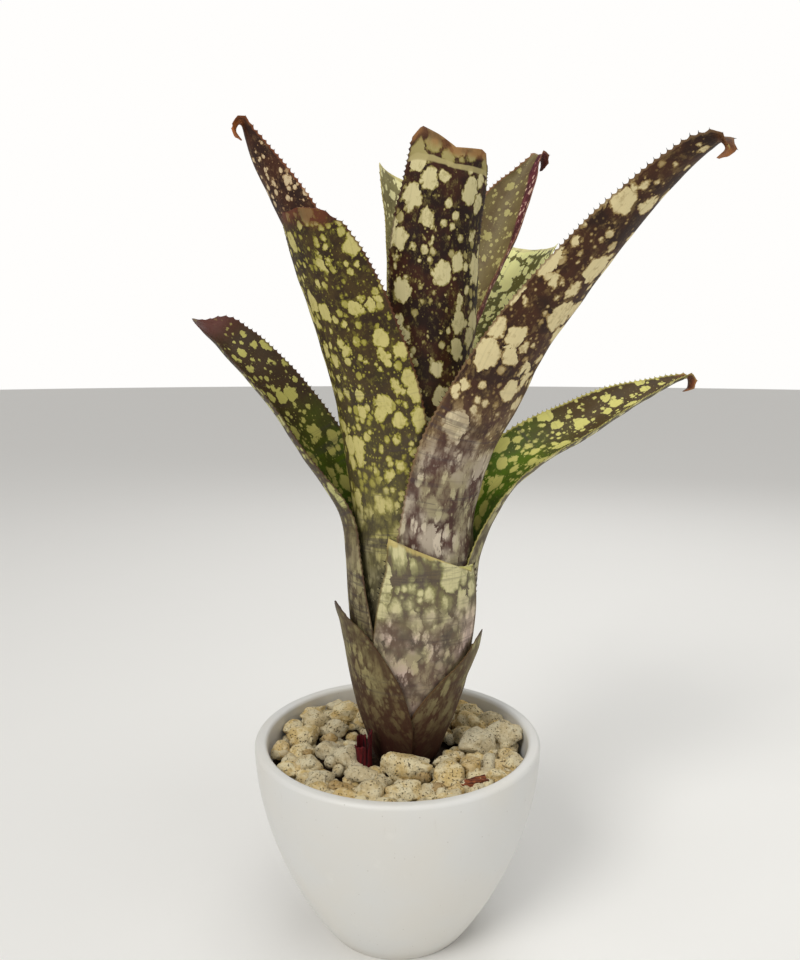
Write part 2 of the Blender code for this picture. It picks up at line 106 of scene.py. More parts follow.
# Each leaf, from the outermost in. A sheath row is (height mm, half angle deg) round the tube. A
# blade row is (keel's distance out from the tube's own radius mm, sideways mm, height mm, half
# width mm, half arc deg, roll deg, skew), and a roll or skew of 0 may be left out at its end.
# Heights are above the lowest leaf base. A tip gives how far the end is drawn out (mm) across the
# leaf, from one margin (-1) to the other (1).
LEAVES = {
    "leaf_low_left": {
        "azimuth": 200,
        "sheath": ((0, 75), (10, 75), (20, 73), (30, 67), (42, 57)),
        "blade": (
            (0.2, 0, 52, 21, 43), (0.9, 0, 60, 15, 29), (2.0, 0, 65, 8, 15), (2.9, 0, 69.5, 0.8, 6),
        ),
    },
    "leaf_low_right": {
        "azimuth": 342,
        "sheath": ((0, 75), (10, 75), (20, 73), (25, 69), (30, 62), (35.5, 52)),
        "blade": (
            (0.8, 0, 41, 17, 36), (1.7, 0, 48, 12, 23), (1.6, 0, 53, 6.5, 13),
            (1.8, 0, 56.7, 0.8, 6),
        ),
    },
    "leaf_cut_front": {
        "azimuth": 286,
        "sheath": ((0, 70), (10, 70), (20, 66), (30, 62), (42, 57), (56, 52), (71, 46), (86, 38)),
        "blade": ((0.2, 0, 91, 17.5, 35),),
        "tip": ((-1, 9), (1, -8)),
    },
    "leaf_left_arch": {
        "azimuth": 168,
        "sheath": ((0, 75), (10, 75), (20, 75), (30, 75), (42, 72), (56, 66), (71, 60), (86, 54)),
        "blade": (
            (1.4, 0, 101, 22, 62, 4), (9.3, 0, 117.5, 20.5, 64, 12), (23.8, 0, 140.5, 18, 66, 20),
            (38.8, 0, 159, 16, 66, 24), (50.8, 0, 171.5, 13.5, 64, 24),
            (58.3, 0, 178.5, 10, 54, 22), (62.3, 0, 181.2, 4.5, 35, 14), (65.3, 0, 183.5, 0.8, 10),
        ),
    },
    "leaf_right_arch": {
        "azimuth": 15,
        "sheath": ((0, 75), (10, 75), (20, 75), (30, 75), (42, 72), (56, 66), (71, 62)),
        "blade": (
            (2.0, 0, 86, 23, 58), (5.6, 0, 96, 21.5, 60, -6), (13.0, 0, 109.5, 20, 62, -14),
            (30.0, 0, 124, 18.5, 62, -20), (52.0, 0, 135.5, 16.5, 60, -20),
            (73.0, 0, 146.3, 13, 58, -16), (89.0, 0, 152.6, 8.5, 56, -10),
            (98.7, 0, 156.5, 5, 58, -5), (103.0, 0, 157.5, 3.5, 60), (103.5, 0, 154.3, 2.6, 40),
            (100.5, 0, 152.5, 0.8, 20),
        ),
    },
    "leaf_right_tall": {
        "azimuth": 318,
        "sheath": ((0, 75), (10, 75), (20, 75), (30, 75), (42, 75), (56, 75), (71, 75), (86, 72)),
        "blade": (
            (1.4, 0, 101, 26.5, 62), (5.0, 0.5, 114, 26, 60, 2), (9.4, 1, 128, 25, 58, 6),
            (18.2, 1, 145.4, 22.5, 58, 12), (29.4, 0, 164.5, 18.5, 58, 18),
            (42.4, 0, 182, 15.5, 58, 22), (57.4, 0, 198.5, 12.8, 56, 22),
            (73.4, 0, 214, 10, 54, 20), (86.4, 0, 224.7, 7.5, 52, 16),
            (93.9, 0, 229.7, 5.8, 50, 10), (98.3, 0, 230.9, 4.5, 50), (100.2, 0, 228.2, 3.2, 40),
            (97.5, 0, 226.0, 0.8, 20),
        ),
    },
    "leaf_left_broad": {
        "azimuth": 232,
        "sheath": (
            (0, 75), (10, 75), (20, 75), (30, 75), (42, 75), (56, 75), (71, 75), (86, 72),
            (101, 66),
        ),
        "blade": (
            (1.6, 0, 121, 26, 60), (6.8, -0.5, 148, 25.5, 56), (16.4, -2, 174, 24, 52),
            (25.4, -2.5, 194, 21, 48), (31.9, -2, 206.5, 17, 44), (35.0, -1.5, 212.5, 13.5, 38),
            (36.7, -1, 215.8, 8.5, 26), (37.6, -1, 217.4, 1.5, 8),
        ),
    },
    "leaf_back_right": {
        "azimuth": 45,
        "sheath": ((10, 75), (20, 75), (30, 75), (42, 75), (56, 75), (71, 75), (86, 75), (101, 72)),
        "blade": (
            (2.6, 0, 121, 26, 64), (11.6, 0, 144, 25.5, 62), (25.6, 0, 167, 24, 60),
            (39.6, 0, 186, 21.5, 56), (53.6, -1, 203, 18.5, 50), (61.6, -1.5, 212.5, 16.5, 46),
        ),
        "tip": ((-1, 1), (-0.5, 3.4), (0, 4.6), (0.5, 3.8), (1, 2)),
    },
    "leaf_back_left": {
        "azimuth": 116,
        "sheath": ((10, 75), (20, 75), (30, 75), (42, 75), (56, 75), (71, 75), (86, 75), (101, 72)),
        "blade": (
            (1.8, 0, 121, 24, 60), (5.2, 0, 146, 18, 51, 0, -0.25), (9.4, 0, 171, 14, 46, 0, -0.25),
            (12.4, 0, 188, 13, 46, 0, -0.3), (13.9, 0, 196, 11, 42, 0, -0.2),
        ),
        "tip": ((-1, -6), (0, 2), (1, -6)),
    },
    "leaf_upright_front": {
        "azimuth": 285,
        "sheath": ((20, 75), (30, 75), (42, 75), (56, 75), (71, 75), (86, 75), (101, 66)),
        "blade": (
            (1.5, 2, 126, 20, 58, 0, 0.2), (2.8, 3.8, 156, 21, 58, 0, 0.15),
            (5.0, 5.2, 186, 21.5, 58, 0, 0.05), (8.0, 6, 214, 20, 54), (11.0, 8, 232, 18, 50),
            (12.5, 9, 244.5, 16.5, 46),
        ),
        "tip": ((-1, -1), (-0.8, 3), (-0.4, 0.5), (0, -3), (0.7, -2), (0.9, -3), (1, -7)),
    },
    "leaf_upright_left": {
        "azimuth": 192,
        "sheath": ((20, 75), (30, 75), (42, 75), (56, 75), (71, 75), (86, 75), (101, 66)),
        "blade": (
            (-0.3, -2.5, 131, 19, 60, 0, -0.15), (6.2, -3, 161, 19, 58, -6, -0.05),
            (15.2, -1, 189, 19, 58, -14), (24.7, 0, 209, 17, 58, -18),
            (34.2, 0, 227.5, 13.5, 56, -20), (40.7, 0, 240.5, 9.5, 54, -18),
            (44.2, 0, 248.5, 6.5, 54, -10), (46.1, 0, 252.7, 4.6, 54), (47.0, 0, 250.9, 3.4, 40),
            (45.2, 0, 247.5, 0.8, 20),
        ),
    },
    "leaf_inner_left": {
        "azimuth": 100,
        "sheath": ((30, 75), (42, 75), (56, 75), (71, 75), (86, 75), (101, 75)),
        "blade": (
            (0.4, -2, 131, 21, 78, 0, 0.1), (5.6, -4, 166, 15.5, 66, 0, 0.5),
            (9.0, -6, 196, 14.5, 66, 0, 0.4), (10.4, -6, 221, 15.5, 70, 0, 0.1),
            (11.9, -4, 241, 15, 66),
        ),
        "tip": ((-1, -6), (1, 6)),
    },
    "leaf_inner_right": {
        "azimuth": 38,
        "sheath": ((42, 75), (56, 75), (71, 75), (86, 75), (101, 75)),
        "blade": (
            (-0.9, 0, 131, 20, 82), (5.6, -1, 158, 18.5, 80), (17.6, -1, 182, 15.5, 69),
            (30.1, 0, 202, 15.5, 69, 0, 0.1), (40.1, 0, 218, 16, 72, 0, 0.3),
            (47.6, 0, 233, 14, 66, 0, 0.3), (53.1, 0, 244, 10, 60, 0, 0.2),
            (56.1, 0, 251, 5.5, 60, 0, 0.1), (58.6, 0, 254.5, 3.5, 50), (60.1, 0, 252, 2.6, 40),
            (58.8, 0, 248.5, 0.8, 20),
        ),
    },
}

# How each leaf is coloured and edged. Colours are display reds, greens and blues, 0 to 255: the
# outer face's ground, the shade that clouds it, the blotches and the halo round them; the inner
# face's ground, its ground further up (inner_far) and its blotches; the sheath and its pale scurf;
# the rim and the tip. tip_length is how far the tip is browned (mm). cell is the spacing of the
# large blotches (mm) and cover their share; freckle and dust are the covers of the middling and
# the smallest ones. green is how far the ground is green. low gives the heights (mm) between which
# the sheath's paler, streaked pattern takes over. bands is how strong the grey cross bands are,
# and band where a pale stripe crosses below a cut end (mm). fade is how far from the tip (mm) the
# blotches begin to shrink, and strip how wide the outer colour shows along the inner face's near
# margin (mm). teeth is where the toothed margin starts along the leaf (mm) and how long its spines
# are (mm).
DARK = dict(
    ground=(64, 32, 18), shade=(38, 19, 12), blotch=(224, 212, 160), halo=(150, 136, 74),
    inner_ground=(84, 84, 32), inner_far=(64, 44, 24), inner_blotch=(204, 202, 116),
    sheath=(90, 74, 52), sheath_pale=(196, 184, 150), rim=(112, 84, 52), tip=(132, 72, 38),
    tip_length=9, cell=7.2, cover=0.42, freckle=0.42, dust=0.30, green=0.0, low=(196, 150),
    bands=0.8, band=0, fade=0, strip=0, teeth=(62, 0.65),
)
LOOKS = {
    "leaf_low_left": dict(
        ground=(98, 88, 48), shade=(80, 62, 40), blotch=(150, 144, 90), halo=(122, 114, 64),
        inner_ground=(140, 140, 80), inner_far=(150, 140, 84), inner_blotch=(176, 168, 108),
        sheath=(80, 60, 40), sheath_pale=(144, 130, 88), rim=(74, 48, 30), tip=(66, 44, 32),
        tip_length=4, cell=4.2, green=0.35, low=(150, 120), teeth=(50, 0.5),
    ),
    "leaf_low_right": dict(
        ground=(118, 114, 66), shade=(98, 84, 54), blotch=(168, 168, 110), halo=(138, 136, 78),
        inner_ground=(140, 140, 80), inner_far=(150, 140, 84), inner_blotch=(176, 168, 108),
        sheath=(90, 68, 48), sheath_pale=(156, 146, 104), rim=(92, 62, 34), tip=(66, 44, 32),
        tip_length=4, cell=4.2, green=0.35, low=(138, 108), teeth=(40, 0.5),
    ),
    "leaf_cut_front": dict(
        ground=(98, 100, 62), shade=(84, 90, 74), blotch=(212, 204, 154), halo=(154, 152, 100),
        inner_ground=(120, 120, 60), inner_blotch=(206, 200, 120), sheath=(110, 88, 76),
        sheath_pale=(218, 194, 180), rim=(104, 84, 44), tip=(196, 176, 108), tip_length=1.0,
        cell=6.6, cover=0.58, freckle=0.56, green=0.3, low=(156, 118), bands=0.5, teeth=(74, 1.5),
    ),
    "leaf_left_arch": dict(
        ground=(72, 56, 34), shade=(52, 40, 28), blotch=(196, 192, 126), halo=(138, 132, 72),
        inner_ground=(88, 112, 20), inner_far=(68, 50, 26), inner_blotch=(190, 184, 100),
        sheath=(88, 72, 52), sheath_pale=(164, 152, 116), rim=(84, 58, 40), tip=(92, 42, 34),
        tip_length=20, cell=5.6, cover=0.46, green=0.15, fade=40, teeth=(78, 0.6),
    ),
    "leaf_right_arch": dict(
        ground=(80, 68, 46), shade=(62, 54, 42), blotch=(208, 200, 144), halo=(146, 142, 84),
        inner_ground=(88, 122, 16), inner_far=(76, 58, 26), inner_blotch=(206, 200, 116),
        sheath=(94, 80, 62), sheath_pale=(178, 168, 140), rim=(186, 176, 98), tip=(150, 84, 50),
        tip_length=12, cell=5.6, cover=0.48, green=0.15, fade=50, teeth=(62, 0.7),
    ),
    "leaf_right_tall": dict(
        ground=(70, 40, 22), shade=(46, 26, 16), blotch=(226, 210, 160), halo=(150, 124, 74),
        sheath=(90, 64, 56), sheath_pale=(212, 198, 176), rim=(128, 100, 70), tip=(176, 112, 60),
        tip_length=10, cell=8.4, cover=0.58, dust=0.36, low=(232, 190), fade=60, teeth=(48, 0.8),
    ),
    "leaf_left_broad": dict(
        ground=(74, 56, 26), shade=(54, 38, 20), blotch=(210, 198, 126), halo=(154, 146, 52),
        sheath=(92, 86, 62), sheath_pale=(188, 178, 144), rim=(98, 56, 36), tip=(112, 56, 34),
        cell=6.6, cover=0.46, freckle=0.48, green=0.32, low=(198, 140), teeth=(62, 0.6),
    ),
    # The back right leaf is pale in its own colour, and its colours are also lifted as painted light,
    # standing in for the light that shines through it from behind.
    "leaf_back_right": dict(
        ground=(140, 148, 96), shade=(122, 126, 86), blotch=(236, 236, 150), halo=(206, 210, 104),
        inner_ground=(102, 104, 40), inner_far=(110, 106, 44), inner_blotch=(255, 255, 176),
        rim=(240, 236, 160), tip=(236, 228, 164), tip_length=1.5, cell=6.0, cover=0.72, freckle=0.6,
        green=0.3, low=(170, 140), teeth=(70, 0.8),
    ),
    # Partly painted light: the back left leaf's inner colours are lightened to stand in for the light that
    # shines through it.
    "leaf_back_left": dict(
        ground=(84, 76, 50), blotch=(200, 202, 120), inner_ground=(120, 130, 76),
        inner_far=(124, 126, 78), inner_blotch=(240, 238, 160), rim=(110, 66, 44),
        tip=(120, 76, 50), tip_length=3, cell=5.6, green=0.3,
    ),
    "leaf_upright_front": dict(
        rim=(84, 56, 44), tip=(160, 112, 66), tip_length=5, cell=7.6, cover=0.54, low=(186, 150),
        band=8.5, teeth=(70, 0.5),
    ),
    "leaf_upright_left": dict(
        ground=(72, 40, 24), shade=(50, 28, 20), blotch=(222, 200, 160), halo=(160, 126, 86),
        inner_ground=(80, 60, 38), rim=(134, 78, 46), tip=(180, 106, 52), tip_length=10, cell=4.6,
        fade=30, teeth=(70, 0.5),
    ),
    # Partly painted light: the inner left leaf's inner colours are lightened to stand in for the light
    # that shines through it.
    "leaf_inner_left": dict(
        ground=(74, 38, 38), shade=(58, 32, 34), blotch=(216, 198, 168), halo=(150, 116, 98),
        inner_ground=(142, 130, 92), inner_far=(150, 142, 96), inner_blotch=(240, 234, 176),
        rim=(206, 190, 112), tip=(206, 194, 128), tip_length=1.2, cell=5.6, teeth=(70, 0.6),
    ),
    "leaf_inner_right": dict(
        ground=(98, 40, 50), shade=(70, 30, 38), blotch=(224, 190, 170), halo=(150, 90, 92),
        inner_ground=(112, 100, 60), inner_far=(118, 104, 64), inner_blotch=(176, 166, 104),
        rim=(150, 104, 72), tip=(96, 52, 40), cell=4.6, cover=0.36, strip=10, teeth=(60, 0.6),
    ),
}

# Heights (mm) between which every leaf's outer face changes on the way down: it turns green, its
# blotches crowd and blur, it takes the sheath's tint and then cross bands of scurf, and its foot
# turns earthy and at last dark.
GREENER, CROWDED, BLURRED = (286, 236), (262, 196), (236, 146)
TINTED, BANDED, EARTHY, DARKER_FOOT = (256, 172), (246, 210), (126, 92), (104, 80)

# A margin's rows from one tooth's crown to the next, as shares of the tooth's height; how far the
# teeth take to come in, how wide a margin they stand on, and how far along the open blade its
# waviness takes to come in.
TOOTH_FORM = (1.0, 0.35, 0.0, 0.35)
TOOTH_ENTRY = 0.006
TOOTH_MARGIN = 0.0016
BLADE_OPENING = 0.045

# A spine's joints from its foot: how far along and across each one goes, and how far it narrows.
SPINE_FORM = ((0.35, 0.02, 0.72), (0.35, 0.07, 0.6), (0.3, 0.12, 0.2))

# More pumice, lying between the large stones: (x, y, length, width, turn), mm and degrees.
SMALL_STONES = ((26, -9, 8, 7, 10), (42, -14, 8, 6, 30), (12, -43, 9, 6, 0), (-28, -25, 8, 7, 40))
SMALL_STONE_SEED, GRIT_SEED, PEBBLE_SEED = 100, 200, 700

# The dried scales of the side shoot: turn round it, lean and share of its height. They stand a
# little aside from the part's plain shoot, and higher.
SHOOT_SCALES = ((0, 0.2, 1.0), (2.2, 0.12, 0.85), (4.1, 0.3, 0.7))
SHOOT_ASIDE = Vector((-0.001, 0.0025, 0))
SHOOT_RISE = 0.005

# The flake of bark against the part's plain chip: its share of each side, and how it is turned.
BARK_SHARE = (1.25, 0.75, 1.1)
BARK_TURN = (0, math.radians(-6), math.radians(14))

# The camera, and where the lamps stand and aim. A lamp has its name, place, size, share of the
# fill's power and colour.
CAMERA_PLACE = (0, -0.342, 0.243)
CAMERA_TILT = math.radians(81.5)
CAMERA_LENS = 31.875
CAMERA_SHIFT = 0.0026
AIM = Vector((0, 0, 0.16))
WINDOW_PLACE = Vector((-0.55, -0.75, 0.95))
WINDOW_ANGLE = math.radians(24)
LAMPS = (
    ("fill", (0.7, -0.6, 0.45), 0.8, 1.0, (0.97, 0.985, 1.0)),
    ("back", (0.25, 0.8, 0.8), 0.7, 1.4, (1.0, 1.0, 1.0)),
    ("top", (0.1, -0.15, 1.0), 0.6, 2.2, (1.0, 1.0, 0.98)),
)


def light_of(colour):
    """A display colour, 0 to 255, as the light a material takes."""
    return [((c / 255 + 0.055) / 1.055) ** 2.4 if c > 10.3 else c / 255 / 12.92 for c in colour]


# ---------------------------------------------------------------- shader maths


class Wire:
    """A node's output that takes part in Python sums; each sum adds its Math node."""

    def __init__(self, finish, socket):
        self.finish = finish
        self.socket = socket

    def sum(self, operation, first, second, clamp=False):
        settings = {"operation": operation, "use_clamp": clamp}
        return self.finish.node("ShaderNodeMath", settings, {0: first, 1: second})

    def __add__(self, other):
        return self.sum("ADD", self, other)

    def __radd__(self, other):
        return self.sum("ADD", other, self)

    def __sub__(self, other):
        return self.sum("SUBTRACT", self, other)

    def __rsub__(self, other):
        return self.sum("SUBTRACT", other, self)

    def __mul__(self, other):
        return self.sum("MULTIPLY", self, other)

    def __rmul__(self, other):
        return self.sum("MULTIPLY", other, self)

    def __truediv__(self, other):
        return self.sum("DIVIDE", self, other)

    def clamped(self):
        return self.sum("ADD", self, 0, clamp=True)

    def most(self, other):
        return self.sum("MAXIMUM", self, other)

    def rises(self, low, high):
        """0 below low, 1 above high and smooth between; falls where low is above high."""
        settings = {"interpolation_type": "SMOOTHSTEP"}
        sockets = {0: self, 1: low, 2: high, 3: 0.0, 4: 1.0}
        if not isinstance(low, Wire) and low > high:
            sockets.update({1: high, 2: low, 3: 1.0, 4: 0.0})
        return self.finish.node("ShaderNodeMapRange", settings, sockets)

    def moved(self, offset):
        return self.finish.node("ShaderNodeVectorMath", {"operation": "ADD"}, {0: self, 1: offset})

    def stretched(self, *scale):
        return self.finish.node("ShaderNodeVectorMath", {"operation": "MULTIPLY"}, {0: self, 1: scale})

    def part(self, axis):
        return self.finish.node("ShaderNodeSeparateXYZ", {}, {0: self}, output=axis)


class Finish:
    """A material and the nodes that make its look."""

    def __init__(self, name):
        self.material = bpy.data.materials.new(name)
        self.material.use_nodes = True
        self.tree = self.material.node_tree

    def feed(self, socket, value):
        """Gives a socket a link, a display colour, or its plain value."""
        if isinstance(value, Wire):
            self.tree.links.new(value.socket, socket)
        elif socket.type == "RGBA":
            socket.default_value = (*light_of(value), 1)
        else:
            socket.default_value = value

    def node(self, kind, settings, sockets, output=0):
        """Adds a node, gives it its settings and then its sockets, and returns one output."""
        made = self.tree.nodes.new(kind)
        for name, value in settings.items():
            setattr(made, name, value)
        for name, value in sockets.items():
            self.feed(made.inputs[name], value)
        return Wire(self, made.outputs[output])

    def place(self):
        """Object coordinates, in millimetres."""
        return self.node("ShaderNodeTexCoord", {}, {}, output="Object").stretched(1000, 1000, 1000)

    def attribute(self, name, output="Fac"):
        settings = {"attribute_type": "GEOMETRY", "attribute_name": name}
        return self.node("ShaderNodeAttribute", settings, {}, output=output)

    def cloud(self, at, size, detail=2.0, roughness=0.5, output="Fac"):
        """Soft noise whose patches are about this size, 0 to 1."""
        sockets = {"Vector": at, "Scale": 1 / size, "Detail": detail, "Roughness": roughness}
        return self.node("ShaderNodeTexNoise", {}, sockets, output=output)

    def cells(self, at, size, randomness=1.0):
        """Distance to the nearest of a scatter of points about this far apart."""
        sockets = {"Vector": at, "Scale": 1 / size, "Randomness": randomness}
        return self.node("ShaderNodeTexVoronoi", {"feature": "F1"}, sockets, output="Distance")

    def blotches(self, at, cell, cover, ragged, soft):
        """Rounded blotches, one to a cell, uneven in size and outline; cover is the largest's radius."""
        wobble = self.cloud(at, cell * 0.4, 3.0, 0.6, output="Color").moved((-0.5, -0.5, -0.5))
        distance = self.cells(at.moved(wobble.stretched(*[cell * ragged] * 3)), cell, 0.9)
        size = Wire(self, distance.socket.node.outputs["Color"]).part(0)
        return (((0.28 + 0.9 * size) * cover - distance) / soft).clamped()

    def mix(self, share, first, second):
        settings = {"data_type": "RGBA", "clamp_factor": True}
        return self.node("ShaderNodeMix", settings, {0: share, 6: first, 7: second}, output=2)

    def coated(self, base, *coats):
        """A base colour under coats, each a share and a colour, laid one over the other."""
        for share, colour in coats:
            base = self.mix(share, base, colour)
        return base

    def done(self, colour, roughness, specular, relief=None, strength=1.0, depth=0.0):
        """Sets the shader's own sockets, the relief through a bump, and returns the material."""
        shader = self.tree.nodes["Principled BSDF"].inputs
        self.feed(shader["Base Color"], colour)
        self.feed(shader["Roughness"], roughness)
        self.feed(shader["Specular IOR Level"], specular)
        if relief is not None:
            sockets = {"Height": relief, "Strength": strength, "Distance": depth}
            self.feed(shader["Normal"], self.node("ShaderNodeBump", {}, sockets, output="Normal"))
        return self.material


# ---------------------------------------------------------------- finishes


def leaf_finish(name, seed):
    """Spotted leaf: dark ground, pale blotches, silvery lower sheath, coloured margin and tip."""
    look = {**DARK, **LOOKS[name]}
    finish = Finish(name)
    at = finish.attribute("leaf_at", "Vector")
    edge = finish.attribute("leaf_edge")
    to_tip = finish.attribute("leaf_tip")
    inner = finish.attribute("leaf_inner")
    place = finish.place()
    height = place.part(2)
    shifted = at.moved((37.0 * seed, 61.0 * seed, 5.0 * seed))
    cloudy = finish.cloud(shifted, 9.0, 4.0, 0.6)
    mottled = finish.cloud(shifted.stretched(1, 0.6, 1), 2.2, 4.0, 0.7)
    drift = finish.cloud(place, 16.0, 3.0)

    # The blotches blur low down and shrink towards a drawn-out tip.
    fade = 1.0 + 0.08 * height.rises(*CROWDED)
    if look["fade"]:
        fade = fade * (0.5 + 0.5 * to_tip.rises(0, look["fade"]))
    blur = height.rises(*BLURRED)
    spread = 0.15 * blur
    squat = shifted.stretched(1, 0.8, 1)
    cell, cover, freckle = look["cell"], fade * look["cover"] + spread, fade * look["freckle"] + spread
    large = finish.blotches(squat, cell, cover, 0.6, 0.1 + 0.3 * blur)
    middling = finish.blotches(squat, cell * 0.46, freckle, 0.5, 0.16 + 0.3 * blur)
    dust = finish.blotches(squat, cell * 0.2, fade * look["dust"], 0.3, 0.3)
    patchy = finish.cloud(shifted, 12.0, 2.0).rises(0.4, 0.6)
    upper = large.most(middling * (0.45 + 0.5 * patchy)).most(dust * (0.3 + 0.45 * patchy))
    band = look["band"]
    if band:
        upper = upper * (1 - 0.55 * to_tip.rises(band + 2, band - 1))

    # The sheath's own scurf takes over below the open part of the leaf.
    streaks = finish.blotches(shifted.stretched(1, 0.5, 1), 4.6, 0.56, 0.6, 0.2)
    flecks = finish.blotches(shifted.stretched(1, 0.6, 1), 1.9, 0.5, 0.5, 0.3)
    washed = finish.cloud(shifted.stretched(1, 0.4, 1), 9.0, 3.0, 0.6).rises(0.4, 0.64)
    net = finish.cloud(shifted.stretched(1, 0.42, 1), 2.6, 4.0, 0.72).rises(0.46, 0.64)
    lower = streaks.most(flecks * 0.55).most(washed * 0.6) * (1 - 0.62 * net)
    low = (height + 44 * (drift - 0.5)).rises(*look["low"])
    mask = upper * (1 - low * 0.75) * (1 - low) + lower.most(upper * 0.55) * low

    green = look["green"]
    broad = finish.cloud(shifted.stretched(1, 0.4, 1), 16.0, 2.0)
    greenery = broad.rises(0.66 - 0.4 * green, 0.84 - 0.3 * green) * height.rises(*GREENER)
    greenery = greenery * (1 - low) * min(1, green * 2)
    ground = finish.coated(
        look["ground"],
        (cloudy.rises(0.38, 0.62), look["shade"]),
        (mottled.rises(0.5, 0.72) * 0.45, look["halo"]),
        (greenery * 0.8, (84, 84, 22)),
        (height.rises(*TINTED) * 0.6, look["sheath"]),
    )
    halo = finish.mix(greenery * 0.5, look["halo"], (160, 160, 60))
    blotch = finish.mix(mask.rises(0.25, 0.9), halo, look["blotch"])
    blotch = finish.mix(mottled.rises(0.5, 0.3) * 0.5, blotch, halo)
    sheath = finish.mix(cloudy.rises(0.4, 0.7) * 0.5, look["sheath"], look["shade"])
    scurf = finish.mix(drift.rises(0.4, 0.62) * 0.7, look["sheath_pale"], (168, 160, 112))
    foot = (height + 26 * (drift - 0.5)).rises(*EARTHY)
    outside = finish.coated(
        ground,
        ((mask / (0.3 + 0.4 * blur)).clamped(), blotch),
        (low, finish.mix(mask.rises(0.0, 0.85), sheath, scurf)),
        (foot * (0.55 + 0.3 * net), (70, 42, 32)),
        # Darker still towards the very bottom of the leaf.
        (height.rises(*DARKER_FOOT) * 0.8, (56, 24, 18)),
    )
    inside = finish.coated(
        look["inner_ground"],
        ((at.part(1) + 30 * (cloudy - 0.5)).rises(110, 165), look["inner_far"]),
        (cloudy.rises(0.4, 0.7) * 0.4, look["shade"]),
        (upper.rises(0.05, 0.6), look["inner_blotch"]),
    )
    if look["strip"]:
        strip = edge.rises(look["strip"], look["strip"] * 0.8) * at.part(0).rises(0.5, -0.5)
        inside = finish.mix(strip, inside, outside)

    # Thin bands of grey scurf across the leaf, broken up by its veins.
    rows = finish.cloud(shifted.stretched(0.06, 1, 1), 1.7, 3.0, 0.7)
    where = finish.cloud(shifted.stretched(0.25, 1, 1), 14.0, 2.0)
    bands = rows.rises(0.5, 0.62) * where.rises(0.44, 0.58) * look["bands"]
    bands = bands * height.rises(*BANDED) * (1 - foot)
    veins = finish.cloud(shifted.stretched(1, 0.02, 1), 0.9, 2.0, 0.6)
    face = finish.coated(
        outside,
        (inner, inside),
        (bands * 0.7, (72, 62, 64)),
        (veins.rises(0.5, 0.8) * 0.16, (30, 20, 14)),
    )
    if band:
        off = to_tip + 4 * (drift - 0.5)
        stripe = off.rises(band - 1.6, band - 1) * off.rises(band + 1.4, band + 0.6)
        face = finish.mix(stripe * (1 - inner) * 0.85, face, (186, 172, 118))
    length = look["tip_length"]
    browned = (to_tip + 5 * (cloudy - 0.5)).rises(length, length * 0.35)
    face = finish.coated(
        face,
        (edge.rises(0.8, 0.3) * 0.75, look["rim"]),
        (browned * 0.8, finish.mix(cloudy.rises(0.45, 0.65) * 0.8, look["tip"], (74, 36, 24))),
        (finish.attribute("leaf_spine"), (26, 14, 12)),
    )
    roughness = (0.46 + 0.16 * low + 0.12 * cloudy + 0.1 * bands).clamped()
    grain = veins * 0.5 + finish.cloud(shifted, 0.5, 2.0) * 0.3 + mask * 0.25 + rows * 0.3
    return finish.done(face, roughness, 0.24, grain, 0.4, 0.0003)


def pot_finish(glaze):
    """Satin glaze, a little cloudy, with wiping marks, specks and painted shade darkening the foot."""
    finish = Finish("pot_glaze")
    at = finish.place()
    broad = finish.cloud(at, 38.0, 3.0)
    fine = finish.cloud(at.stretched(1, 1, 0.25), 3.0, 4.0, 0.65)
    smudge = finish.cloud(at, 9.0, 4.0, 0.6)
    colour = finish.coated(
        glaze,
        (broad.rises(0.3, 0.7) * 0.5, (224, 219, 208)),
        (fine.rises(0.62, 0.8) * 0.18, (196, 190, 178)),
        (smudge.rises(0.6, 0.75) * 0.14, (242, 240, 234)),
        ((0.07 - finish.cells(at, 4.2)).rises(0.0, 0.03) * 0.35, (150, 140, 122)),
        # Painted shade: the glaze darkens towards the foot.
        (at.part(2).rises(8, 0) * 0.25, (178, 168, 150)),
    )
    relief = broad * 0.6 + fine * 0.15 + smudge * 0.2
    return finish.done(colour, 0.38 + 0.14 * smudge, 0.5, relief, 0.25, 0.0006)


def pumice_finish():
    """Cream pumice with tan and grey patches and pits dark with painted shade; stone_tint makes each stone
    its own.
    """
    finish = Finish("pumice")
    at = finish.place()
    tint = finish.attribute("stone_tint")
    mottle = finish.cloud(at, 1.3, 4.0, 0.7)
    # Gas holes: irregular, crowded in some places and scarce in others, and dark with painted shade.
    crowd = finish.cloud(at, 3.4, 2.0).rises(0.36, 0.62)
    pit = finish.cloud(at, 0.75, 2.0, 0.45).rises(0.66 - 0.07 * crowd, 0.72 - 0.07 * crowd)
    pinholes = finish.cells(at, 0.6).rises(0.26, 0.1) * crowd
    colour = finish.coated(
        (230, 216, 176),
        (finish.cloud(at, 6.0, 3.0, 0.6).rises(0.4, 0.6), (208, 182, 124)),
        (tint.rises(0.4, 0.9) * 0.6, (196, 188, 164)),
        (tint.rises(0.3, 0.12) * 0.55, (196, 164, 104)),
        (tint.rises(0.1, 0.03) * 0.7, (146, 116, 70)),
        (mottle.rises(0.52, 0.72) * 0.6, (236, 224, 190)),
        (mottle.rises(0.47, 0.28) * 0.6, (164, 138, 92)),
        # Painted shade inside the pinholes and the pits.
        (pinholes * 0.45, (112, 92, 62)),
        (pit * 0.8, (62, 48, 34)),
    )
    crust = mottle * 0.8 - pit * 1.0 - pinholes * 0.4 + finish.cloud(at, 0.4, 3.0) * 0.35
    return finish.done(colour, 0.9, 0.2, crust, 1.0, 0.0007)


